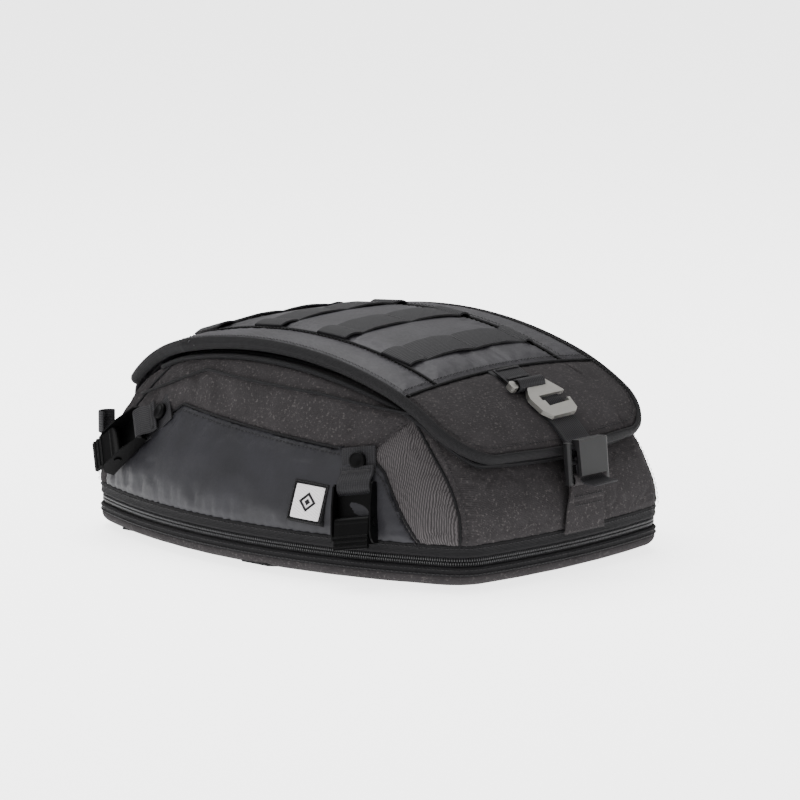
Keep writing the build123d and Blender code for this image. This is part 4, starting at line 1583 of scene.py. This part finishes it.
    def rim_and_lid(self) -> None:
        """Make the rim round the opening, its piping and the inner lid."""
        loop = SHAPE.arc_loop(90.0, 148.0, (350.0, 450.0, 40.0), (96, 80, 14))
        rows = []
        for t in np.linspace(0, 1, 9):
            row = []
            for wall, (x, y, _, _) in zip(self.top_loop, loop):
                px, py = wall.x + (x - wall.x) * t, wall.y + (y - wall.y) * t
                row.append(
                    SHAPE.top(px, py, RIM_DEPTH) + Vector((0, 0, 0.5 * math.sin(math.pi * t)))
                )
            rows.append(row)
        rim = PanelGrid(rows, closed=True).cut("opening_rim_cloth", [], Stuff.CANVAS)
        thicken(rim, 3.0)
        put(rim, "upper_body", "canvas", "opening_rim")
        line = [p + Vector((0, 0, 0.4)) for p in self.top_loop]
        start = next(i for i in range(len(line)) if line[i].y <= 118 < line[i - 1].y)
        line = [p for p in line[start:] + line[:start] if p.y <= 118]
        put(tube("rim_piping", line, 1.9, Stuff.CORD), "upper_body", "binding")
        rows = []
        for t in (0.005, 0.008, 0.02, 0.05, 0.1, 0.2, 0.35, 0.5, 0.65, 0.8, 0.92, 0.999):
            row = []
            for x, y, _, _ in loop:
                px, py = x * (1 - t), min(y * (1 - t), self.lid_rear - 1.0)
                row.append(
                    SHAPE.top(px, py, RIM_DEPTH) + Vector(
                        (0, 0, 0.4 * noise.noise(Vector((px, py, 4)) * 0.03))
                    )
                )
            rows.append(row)
        lid = PanelGrid(rows, closed=True).cut("inner_lid_cloth", [], Stuff.CANVAS)
        thicken(lid, 3.0)
        put(lid, "lid", "canvas", "inner_lid")
        edge = [
            SHAPE.top(x * 0.985, y * 0.985, RIM_DEPTH - 0.4)
            for x, y, _, _ in loop
            if y < self.lid_rear - 2
        ]
        start = next(i for i in range(len(edge)) if (edge[i] - edge[i - 1]).length > 20)
        put(tube("lid_piping", edge[start:] + edge[:start], 1.4, Stuff.CORD), "lid", "binding")

    def hinge_strip(self) -> None:
        """Make the strip that carries the flap's hinge, and the hinge's cloth."""
        rows = []
        for z in np.linspace(62.7, 92.7, 12):
            ring = [p for p in SHAPE.outline(SHAPE.inset(float(z))) if p[1] > 0 and abs(p[0]) < 82]
            ring_x, ring_y = [p[0] for p in ring[::-1]], [p[1] for p in ring[::-1]]
            xs = [70.0 * (1 - 2 * i / 60) for i in range(61)]
            rows.append(
                [Vector((x, float(np.interp(x, ring_x, ring_y)) + 2.4, float(z))) for x in xs]
            )
        # The lighter copy of the coated cloth is used here: painted light from the top lamps.
        obj = PanelGrid(rows).cut("hinge_strip_cloth", [], Stuff.COATED_TOP)
        Softness(puff=0.4, groove=1.2, wrinkle=0.2, crease=0.1).apply(obj)
        thicken(obj, 2.0)
        put(obj, "upper_body", "coated", "hinge_strip")
        rows = []
        for t in np.linspace(0, 1, 8):
            row = []
            for i in range(49):
                x = 72.0 * (1 - 2 * i / 48)
                low = Vector((x, rear_wall_y(x, 86.0) + 1.6, 86.0))
                high = SHAPE.top(x, 155.5, 1.8)
                row.append(
                    low.lerp(high, float(t)) + Vector(
                        (0, 0.9 * math.sin(math.pi * t), 0.5 * math.sin(math.pi * t))
                    )
                )
            rows.append(row)
        # The lighter copy of the coated cloth again: painted light from the top lamps.
        obj = PanelGrid(rows).cut("flap_hinge_cloth", [], Stuff.COATED_TOP)
        thicken(obj, 1.2)
        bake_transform(obj)
        LOG.info("flap_hinge_cloth bends between the body and the flap")


def rear_wall_y(x: float, z: float) -> float:
    """Rear wall's y at x and height z."""
    ring = [p for p in SHAPE.outline(SHAPE.inset(z)) if p[1] > 0 and abs(p[0]) < 90]
    ring.sort()
    return float(np.interp(x, [p[0] for p in ring], [p[1] for p in ring]))


@dataclass
class Flap:
    """The over-flap: panels, seams, binding, webbing rows and upper strap."""

    half: float = 94.0
    seam_x: float = 62.5
    cross_y: float = -112.0
    hinge_y: float = 156.9
    web_rows: tuple[float, ...] = (-75.0, -17.0, 41.0, 99.0)
    tacks: tuple[float, ...] = (-45.0, 3.0, 52.0)

    def front_y(self, x: float) -> float:
        """Front edge's y at x, with rounded corners."""
        x = abs(x)
        line = -174.9 + x * x / 760 if x < 39.6 else -177.04 + 0.104 * x
        if x > 66:
            line += 30 - math.sqrt(max(0.0, 900 - (x - 66) ** 2))
        return line

    def rear_y(self, x: float) -> float:
        """Rear end's y at x."""
        x = abs(x)
        return self.hinge_y if x < 76 else self.hinge_y - (x - 76) ** 1.5 * 0.95

    def edge(self) -> list[tuple[float, float]]:
        """Flap outline from the left hinge end round the front to the right."""
        right = [(x, self.rear_y(x)) for x in np.linspace(78.5, self.half, 14)]
        right += [(self.half + 1.6 * t, 98 + (-137 - 98) * t) for t in np.linspace(0.02, 1, 60)]
        right += [
            (66 + 29.6 * math.sin(a), self.front_y(66 + 29.6 * math.sin(a)))
            for a in np.linspace(math.pi / 2 * 0.97, 0, 16)
        ]
        right += [(x, self.front_y(x)) for x in np.linspace(64, 0, 30)]
        return [(-x, y) for x, y in right[:-1]] + right[::-1]

    def build(self) -> None:
        """Make the whole flap."""
        self.panels()
        self.binding()
        self.seams()
        self.webbing()
        self.upper_strap()

    def grid(self) -> PanelGrid:
        """Points of the flap's outer face inside the binding."""
        side = [66 + 28.4 * math.sin(a) for a in np.linspace(0, math.pi / 2, 9)]
        xs = [-x for x in side[::-1]] + list(np.linspace(-63, 63, 64)) + side
        columns = []
        for x in xs:
            y0 = self.front_y(x) + 0.7
            y1 = self.rear_y(x)
            columns.append([SHAPE.top(x, y0 + (y1 - y0) * t) for t in np.linspace(0, 1, 150)])
        return PanelGrid([list(row) for row in zip(*columns)])

    def panels(self) -> None:
        """Make the four flap panels."""
        planes = [
            ((self.seam_x, 0, 0), (1, 0, 0)),
            ((-self.seam_x, 0, 0), (1, 0, 0)),
            ((0, self.cross_y, 0), (0, 1, 0)),
        ]

        def region(p: Vector) -> str:
            """Name the flap panel a point is on."""
            if p.y < self.cross_y:
                return "flap_front"
            side = "flap_left" if p.x < 0 else "flap_right"
            return "flap_middle" if abs(p.x) < self.seam_x else side

        # The flap's coated panels use the lighter copy of the coated cloth: painted light from the
        # top lamps.
        stuffs = {"flap_front": Stuff.CANVAS, "flap": Stuff.COATED_TOP}
        nodes = {
            "flap_front": "flap_front_panel",
            "flap_middle": "flap_middle_panel",
            "flap_left": "flap_side_left",
            "flap_right": "flap_side_right",
        }
        panels = split_panels(self.grid(), planes, region, stuffs)
        simulate_panels([panels[n] for n in sorted(panels)], pressure=3.0, cap=0.7)
        for number, (name, obj) in enumerate(sorted(panels.items())):
            Softness(
                puff=0.9, groove=0.9, reach=9.0, wrinkle=0.5, crease=0.25, scale=14.0,
                seed=4.0 + number,
            ).apply(obj)
            thicken(obj, 3.6)
            put(obj, "flap", "canvas" if name == "flap_front" else "coated", nodes[name])

    def binding(self) -> None:
        """Sew the rounded tape round the edge."""
        pts = [Vector((x, y, 0)) for x, y in self.edge()]
        pts = even_path(pts, 2.4)
        normals = [SHAPE.top_normal(p.x, p.y) for p in pts]
        path = [SHAPE.top(p.x, p.y) - n * 2.9 for p, n in zip(pts, normals)]
        profile = [
            (2.5 * math.cos(a), 4.4 * math.sin(a)) for a in np.linspace(0, 2 * math.pi, 17)[:-1]
        ]
        profile = [(w + (0.5 if abs(h) < 2 else 0), h) for w, h in profile]
        swell = [
            1.0 + 0.05 * noise.noise(p * 0.09) + 0.03 * math.sin(i * 2.1)
            for i, p in enumerate(path)
        ]
        put(
            sweep("flap_edge_binding", path, normals, profile, Stuff.TAPE, widths=swell),
            "flap",
            "binding",
            "flap_binding",
        )
        inner = []
        for a, b in zip(pts[3:-3], pts[4:-2]):
            inward = Vector((-(b - a).y, (b - a).x, 0)).normalized()
            spot = a + inward * 4.3
            inner.append(SHAPE.top(spot.x, spot.y, -0.75))
        put(
            stitches("flap_edge_stitch", inner, lambda p: SHAPE.top_normal(p.x, p.y), 3.0, 2.1),
            "flap",
            "binding",
        )

    def seams(self) -> None:
        """Lay the doubled seams along and across the flap."""
        up = lambda p: SHAPE.top_normal(p.x, p.y)
        for side, sign in SIDES.items():
            ys = np.linspace(self.cross_y, 154.0, 90)
            for number, (shift, lift) in enumerate(((0.0, -0.2), (4.2, -0.9))):
                line = [SHAPE.top(sign * (self.seam_x + shift), y, lift) for y in ys]
                if number == 0:
                    put(tube(f"flap_seam_cord_{side}", line, 1.0, Stuff.CORD), "flap", "coated")
                else:
                    put(stitches(f"flap_seam_stitch_{side}", line, up), "flap", "coated")
        line = [SHAPE.top(x, self.cross_y, -0.2) for x in np.linspace(-92, 92, 80)]
        put(tube("flap_cross_cord", line, 1.0, Stuff.CORD), "flap", "coated")
        line = [SHAPE.top(x, self.cross_y + 4.4, -0.9) for x in np.linspace(-90, 90, 80)]
        put(stitches("flap_cross_stitch", line, up), "flap", "coated")

    def webbing(self) -> None:
        """Sew the rows of webbing with their raised loops."""
        stops = (-self.seam_x, *self.tacks, self.seam_x)
        for number, y in enumerate(self.web_rows):
            path, normals = [], []
            for a, b in zip(stops, stops[1:]):
                for t in np.linspace(0, 1, 12)[: -1 if b != stops[-1] else None]:
                    x = a + (b - a) * float(t)
                    lift = 0.5 + 1.5 * math.sin(math.pi * float(t)) ** 0.8 * (
                        1.0 + 0.3 * noise.noise(Vector((x, y, 1)) * 0.1)
                    )
                    path.append(SHAPE.top(x, y, -lift))
                    normals.append(SHAPE.top_normal(x, y))
            obj = strap(f"web_row_{number + 1}", path, normals, WEB_WIDTH)
            put(obj, "flap", "webbing", f"molle_strip_{number + 1}")
            for k, x in enumerate(self.tacks):
                ends = [SHAPE.top(x, y + dy, -1.6) for dy in np.linspace(-11.2, 11.2, 8)]
                ups = [SHAPE.top_normal(x, y)] * len(ends)
                put(
                    sweep(
                        f"web_tack_{number + 1}_{k + 1}",
                        ends,
                        ups,
                        rounded_profile(2.2, 1.0, 0.5),
                        Stuff.THREAD,
                    ),
                    "flap",
                    "webbing",
                )

    def upper_strap(self) -> None:
        """Run the upper strap from the cross seam round the hook's top bar."""
        pts = [SHAPE.top(-1.0, y, -0.7) for y in np.linspace(self.cross_y + 1.0, -131.0, 10)]
        pts = [Vector((-1.0, p.y, p.z)) for p in pts]
        for a in np.linspace(-50, -290, 15):
            angle = math.radians(float(a))
            pts.append(HOOK @ Vector((-6.0, 15.5 + 3.7 * math.cos(angle), 3.7 * math.sin(angle))))
        back = [SHAPE.top(-1.0, y, -2.6) for y in np.linspace(-131.0, -117.0, 7)]
        pts += [Vector((-1.0, p.y, p.z)) for p in back]
        path = even_path(pts, 1.2)
        normals = ribbon_normals(path, Vector((1, 0, 0)))
        put(
            sweep(
                "upper_webbing", path, normals, rounded_profile(WEB_WIDTH, 1.3, 0.5), Stuff.WEBBING
            ),
            "flap",
            "webbing",
            "closure_strap_upper",
        )
        for k, y in enumerate((-119.0, -128.5)):
            ends = [SHAPE.top(x, y, -4.1) for x in np.linspace(-12, 10, 8)]
            put(
                sweep(
                    f"upper_tack_{k + 1}",
                    ends,
                    [SHAPE.top_normal(0, y)] * 8,
                    rounded_profile(1.8, 0.8, 0.4),
                    Stuff.THREAD,
                ),
                "flap",
                "webbing",
            )


def ribbon_normals(path: Path, axis: Vector) -> Path:
    """Normals of a ribbon that stays square to one axis."""
    normals = []
    for i in range(len(path)):
        tangent = (path[min(i + 1, len(path) - 1)] - path[max(i - 1, 0)]).normalized()
        normals.append(axis.cross(tangent).normalized())
    return normals


def frame_matrix(
    origin: Sequence[float], x_axis: Sequence[float], y_axis: Sequence[float],
    z_axis: Sequence[float],
) -> Matrix:
    """Matrix from a local frame, in millimetres."""
    matrix = Matrix.Identity(4)
    for i, axis in enumerate((x_axis, y_axis, z_axis, origin)):
        for k in range(3):
            matrix[k][i] = axis[k]
    return matrix


HOOK = frame_matrix(
    (5, -149.903, 113.884), (1, 0, 0), (0, 0.81413, 0.58068), (0, -0.58068, 0.81413)
)
LOCK = frame_matrix((5, -181, 76), (1, 0, 0), (0, 0.0872, 0.9962), (0, -0.9962, 0.0872))


@dataclass
class Closure:
    """The lower strap, its tail and the anchor cloth, placed by the CAD hook and lock."""

    width: float = WEB_WIDTH

    def build(self) -> None:
        """Make the straps of the hook closure."""
        pts = [
            HOOK @ Vector((0, b, c))
            for b, c in (
                (5.5, -2.8), (1.0, -1.6), (-2.5, -2.0), (-6.5, -3.3), (-12, -3.4), (-17, -3.2)
            )
        ]
        pts += [SHAPE.top(5, y, -3.0) for y in (-167.5, -171.0, -174.5)]
        pts += [Vector((5, -178.0, 87.4))]
        pts += [LOCK @ Vector((0, b, c)) for b, c in ((6.5, -1.2), (1, -1.4), (-5, -1.5))]
        path = even_path(smooth_path(pts, 8), 1.3)
        normals = ribbon_normals(path, Vector((-1, 0, 0)))
        top_ply = sweep(
            "lower_webbing", path, normals, rounded_profile(self.width, 1.3, 0.5), Stuff.WEBBING
        )
        under = [p - n * 1.5 for p, n in zip(path, normals)]
        low_ply = sweep(
            "lower_webbing_ply",
            under[4:-4],
            normals[4:-4],
            rounded_profile(self.width - 0.6, 1.2, 0.5),
            Stuff.WEBBING,
        )
        obj = join("lower_webbing", [top_ply, low_ply])
        put(obj, "upper_body", "webbing", "closure_strap_lower")
        pts = [
            LOCK @ Vector(p)
            for p in (
                (0, 4, 4.2), (0, -3, 4.6), (0.2, -8, 5.4), (0.4, -11.5, 8.0), (0.8, -13.0, 12.0),
                (1.2, -13.6, 18.5),
            )
        ]
        path = even_path(smooth_path(pts, 6), 1.3)
        obj = sweep(
            "strap_tail",
            path,
            ribbon_normals(path, Vector((1, 0, 0))),
            rounded_profile(24.0, 1.6, 0.6),
            Stuff.WEBBING,
        )
        put(obj, "ladder_lock", "webbing")
        self.anchor()

    def anchor(self) -> None:
        """Make the cloth tab that holds the lock."""
        low = LOCK @ Vector((0, -11, 2.5))
        pts = [
            Vector((5, -181.6, 29.0)),
            Vector((5, -182.2, 38)),
            Vector((5, -182.6, 48)),
            Vector((5, -183.0, 56)),
            Vector((5, low.y + 3.0, low.z - 4)),
        ]
        for a in np.linspace(-20, -290, 12):
            angle = math.radians(float(a))
            pts.append(Vector((5, low.y + 3.1 * math.cos(angle), low.z + 3.1 * math.sin(angle))))
        pts += [Vector((5, low.y - 0.6, low.z - 7)), Vector((5, low.y - 0.2, low.z - 15))]
        path = even_path(pts, 1.6)
        widths = [float(np.interp(p.z, (29, 46, 60, 70), (1.28, 1.2, 1.0, 1.0))) for p in path]
        obj = sweep(
            "anchor_cloth",
            path,
            ribbon_normals(path, Vector((1, 0, 0))),
            rounded_profile(31.0, 1.3, 0.5),
            Stuff.CANVAS,
            widths=widths,
        )
        put(obj, "upper_body", "canvas", "closure_anchor")
        for k, z in enumerate((48.0, 54.0)):
            line = [Vector((x, -186.3 + 0.02 * k, z)) for x in np.linspace(-9, 19, 16)]
            put(
                stitches(
                    f"anchor_stitch_{k + 1}", line, lambda p: Vector((0, -1, 0)), 2.2, 1.6, 0.4
                ),
                "upper_body",
                "canvas",
            )


@dataclass
class CamBuckle:
    """One side buckle's strap tab, snap cap and torsion spring."""

    name: str

    def frame(self) -> Matrix:
        """The buckle's own frame, from the record's two joints."""
        joints = {j["name"]: j for j in frame["record"]["behaviour"]["joints"]}
        swing, press = joints[f"cam_swing_{self.name}"], joints[f"lever_press_{self.name}"]
        across = -Vector(swing["axis"]).normalized()
        origin = joint_point(swing)
        gap = joint_point(press) - origin
        up = (-24.0 * gap - 4.0 * across.cross(gap)) / 592.0
        up = (up - across * up.dot(across)).normalized()
        return frame_matrix(origin, across, up, across.cross(up))

    def build(self) -> None:
        """Make the soft and turned pieces of one buckle."""
        place = self.frame()
        pts = [(27.5, -5.4), (22, -5.2), (15, -5.1), (9, -5.0), (5, -4.6), (1.5, -3.5)]
        local = [Vector((0, b, c)) for b, c in pts]
        for a in np.linspace(-100, -265, 10):
            angle = math.radians(float(a))
            local.append(Vector((0, 3.15 * math.cos(angle), 3.15 * math.sin(angle))))
        local += [
            Vector((0, b, c)) for b, c in ((3.5, 2.0), (7.0, -1.4), (10.0, -3.0), (14.0, -3.5))
        ]
        path = even_path([place @ p for p in local], 1.2)
        axis = place.to_3x3() @ Vector((1, 0, 0))
        tab = sweep(
            f"side_tab_{self.name}",
            path,
            ribbon_normals(path, axis),
            rounded_profile(24.6, 1.4, 0.5),
            Stuff.WEBBING,
        )
        put(tab, "upper_body", "webbing", f"cam_tab_{self.name}")
        ends = [place @ Vector((x, 10.6, -2.0)) for x in np.linspace(-10.5, 10.5, 8)]
        up = place.to_3x3() @ Vector((0, 0, 1))
        put(
            sweep(
                f"side_tack_{self.name}",
                ends,
                [up] * 8,
                rounded_profile(2.2, 0.8, 0.4),
                Stuff.THREAD,
            ),
            "upper_body",
            "webbing",
        )
        cap = place @ Matrix.Translation((0, 18, -4.3))
        profile = [
            (0.0, 1.9), (1.6, 1.95), (3.4, 2.5), (4.6, 2.55), (5.6, 2.1), (6.0, 1.3), (6.0, 0.2),
            (5.6, -0.6), (0.0, -0.6),
        ]
        put(
            lathe(f"snap_button_{self.name}", profile, cap, Stuff.BLACK_METAL),
            "upper_body",
            "black_metal",
            f"snap_cap_{self.name}",
        )
        helix = []
        for i in range(100):
            b, c = math.cos(i * 0.38), math.sin(i * 0.38)
            helix.append(
                place @ Vector((-11.6 + 23.2 * i / 99, -24 + 3.0 * b * 0.72, 4 + 3.0 * c * 0.72))
            )
        put(
            tube(f"lever_spring_{self.name}", helix, 0.28, Stuff.SPRING, sides=6),
            f"cam_{self.name}",
            "black_metal",
        )


def joint_point(joint: dict) -> Vector:
    """A joint's origin in millimetres."""
    return Vector(joint["pos_m"]) / MM


@dataclass
class SmallParts:
    """The patch, rear loops and the CAD hardware kept as it is."""

    loop_x: float = 92.0
    loop_out: float = 6.2
    loop_half: float = 5.6
    loop_width: float = 15.0

    def build(self) -> None:
        """Make the small sewn pieces and dress the kept hardware."""
        self.patch()
        self.rear_loops()
        self.dress()

    def patch(self) -> None:
        """Make the sewn label with a plain mark."""
        normal = Vector((-0.93055, -0.15003, 0.33401))
        along = Vector((-0.1412, 0.98868, 0.05069))
        down = Vector((-0.33783, 0, -0.94121))
        place = frame_matrix((-130.143, -60, 51), -along, -down, normal)
        for name, size, low, high, stuff, slot, node in (
            ("patch_border", 28.0, -2.5, 2.3, Stuff.PATCH_EDGE, "patch_edge", "patch_backing"),
            ("patch_face", 22.8, 2.0, 2.7, Stuff.PATCH, "patch", "patch_plate"),
        ):
            ring = []
            for i in range(48):
                angle = math.pi / 4 + 2 * math.pi * i / 48
                c, s = math.cos(angle), math.sin(angle)
                reach = size / 2 / max(abs(c), abs(s))
                reach = min(reach, size / 2 * 1.395)
                ring.append((c * reach, s * reach))
            levels = (
                (1.0, low), (1.0, high - 0.4), (0.985, high - 0.1), (0.95, high),
                (0.5, high + 0.05), (0.01, high + 0.05),
            )
            rows = [[place @ Vector((x * k, y * k, z)) for x, y in ring] for k, z in levels]
            obj = PanelGrid(rows, closed=True).cut(name, [], stuff)
            put(obj, "upper_body", slot, node)
        edge = [
            place @ Vector((x, y, 2.1))
            for x, y in ((-13, -13), (13, -13), (13, 13), (-13, 13), (-13, -13))
        ]
        put(
            stitches("patch_stitch", edge, lambda p: normal, 1.5, 1.2, 0.5),
            "upper_body",
            "patch_edge",
        )
        for name, outer, inner in (("patch_mark_ring", 6.6, 4.4), ("patch_mark_dot", 2.2, 0.0)):
            profile = [(inner, 2.6), (inner, 3.05), (outer, 3.05), (outer, 2.6)]
            obj = lathe(name, profile, place @ Matrix.Rotation(0, 4, "Z"), Stuff.MARK, steps=4)
            obj.data.shade_flat()
            put(obj, "upper_body", "patch_edge")

    def rear_loops(self) -> None:
        """Make the two webbing loops at the rear corners."""
        for side, sign in SIDES.items():
            low, high = box_corners(f"rear_loop_{side}")
            x, z = sign * self.loop_x, (low.z + high.z) / 2
            out = Vector((x, rear_wall_y(sign * 88.0, z) + 320, 0)).normalized()
            along = Vector((-out.y, out.x, 0))
            centre = Vector((x, high.y - 8.2 + 1.0, z))
            pts = []
            for a in np.linspace(0, math.pi, 20):
                pts.append(
                    centre + out * (
                        -2 + self.loop_out * math.sin(a)
                    ) + along * (self.loop_half * math.cos(a))
                )
            path = even_path(pts, 1.5)
            obj = sweep(
                f"rear_webbing_{side}",
                path,
                ribbon_normals(path, Vector((0, 0, 1))),
                rounded_profile(self.loop_width, 1.7, 0.6),
                Stuff.WEBBING,
            )
            put(obj, "upper_body", "webbing", f"rear_loop_{side}")

    def dress(self) -> None:
        """Give the kept CAD nodes their finish and rounded edges."""
        plan = {
            "closure_hook": (Stuff.ALLOY, "alloy", 0.7),
            "ladder_lock": (Stuff.PLASTIC, "plastic", 0.5),
            "zip_slider": (Stuff.BLACK_METAL, "black_metal", 0.4),
        }
        plan["zip_puller"] = (Stuff.BLACK_METAL, "black_metal", 0.3)
        plan["antislip_pad"] = (Stuff.GRIP, "grip", 0.4)
        plan["base_board"] = (Stuff.BOARD, "board", 0.3)
        for name in BUCKLES:
            plan[f"cam_frame_{name}"] = (Stuff.BLACK_METAL, "black_metal", 0.3)
            plan[f"cam_lever_{name}"] = (Stuff.BLACK_METAL, "black_metal", 0.35)
        for node, (stuff, slot, width) in plan.items():
            obj = frame["nodes"][node]
            obj.data.materials.clear()
            obj.data.materials.append(stuff.material)
            bevel(obj, width)
            LOG.info("%s keeps its shape in %s", node, stuff.value.name)


# ---------------------------------------------------------------- the picture
@dataclass
class Studio:
    """Floor, lights and camera."""

    azimuth: float = -47.7
    elevation: float = 10.5
    distance: float = 4.5
    lens: float = 298.0
    aim: tuple[float, float] = (0.0163, 0.0929)
    floor_glow: float = 2.8
    room_glow: float = 0.6

    def build(self) -> None:
        """Set the floor, the lights and the camera."""
        self.floor()
        self.lights()
        self.camera()

    def floor(self) -> None:
        """Make a pale sweep under and behind the bag."""
        verts = [(x * 14000.0, y * 14000.0, -0.4) for x, y in ((-1, -1), (1, -1), (1, 1), (-1, 1))]
        obj = make_object("studio_floor", verts, [(0, 1, 2, 3)], Stuff.CANVAS)
        tree = NodeTree("pale_floor")
        tree.shader.inputs["Base Color"].default_value = (0.92, 0.92, 0.92, 1)
        tree.shader.inputs["Roughness"].default_value = 0.9
        tree.shader.inputs["Emission Color"].default_value = (1, 1, 1, 1)
        tree.shader.inputs["Emission Strength"].default_value = self.floor_glow
        obj.data.materials.clear()
        obj.data.materials.append(tree.material)

    def lights(self) -> None:
        """Hang soft panels over and beside the bag."""
        world = bpy.data.worlds.new("soft_room")
        bpy.context.scene.world = world
        world.use_nodes = True
        background = world.node_tree.nodes["Background"]
        background.inputs["Color"].default_value = (1, 1, 1, 1)
        background.inputs["Strength"].default_value = self.room_glow
        plan = (
            ("top_panel", (0.15, 0.45, 1.5), 1.6, 46.0),
            ("left_panel", (-1.7, -0.2, 0.9), 1.1, 14.0),
            ("front_panel_light", (0.6, -1.9, 1.0), 1.1, 9.0),
        )
        for name, place, size, power in plan:
            data = bpy.data.lights.new(name, "AREA")
            data.shape = "SQUARE"
            data.size = size
            data.energy = power
            light = bpy.data.objects.new(name, data)
            light.location = place
            light.rotation_euler = (
                Vector((0, 0, 0.08)) - Vector(place)
            ).to_track_quat("-Z", "Y").to_euler()
            bpy.context.scene.collection.objects.link(light)

    def camera(self) -> None:
        """Place the camera."""
        a, e = math.radians(self.azimuth), math.radians(self.elevation)
        away = Vector((math.sin(a) * math.cos(e), -math.cos(a) * math.cos(e), math.sin(e)))
        right = Vector((math.cos(a), math.sin(a), 0))
        up = Vector((-math.sin(a) * math.sin(e), math.cos(a) * math.sin(e), math.cos(e)))
        target = right * self.aim[0] + up * self.aim[1]
        data = bpy.data.cameras.new("camera")
        data.lens = self.lens
        data.sensor_width = 36.0
        data.clip_end = 60.0
        obj = bpy.data.objects.new("camera", data)
        obj.location = target + away * self.distance
        obj.rotation_euler = away.to_track_quat("Z", "Y").to_euler()
        bpy.context.scene.collection.objects.link(obj)
        bpy.context.scene.camera = obj


def main() -> None:
    """Build the bag in order, then the studio."""
    logging.basicConfig(level=logging.INFO, format="%(name)s: %(message)s")
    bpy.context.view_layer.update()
    BaseTray().build()
    ExpansionZip().build()
    UpperShell().build()
    Flap().build()
    Closure().build()
    for name in BUCKLES:
        CamBuckle(name).build()
    SmallParts().build()
    Studio().build()


if __name__ == "__main__":
    main()
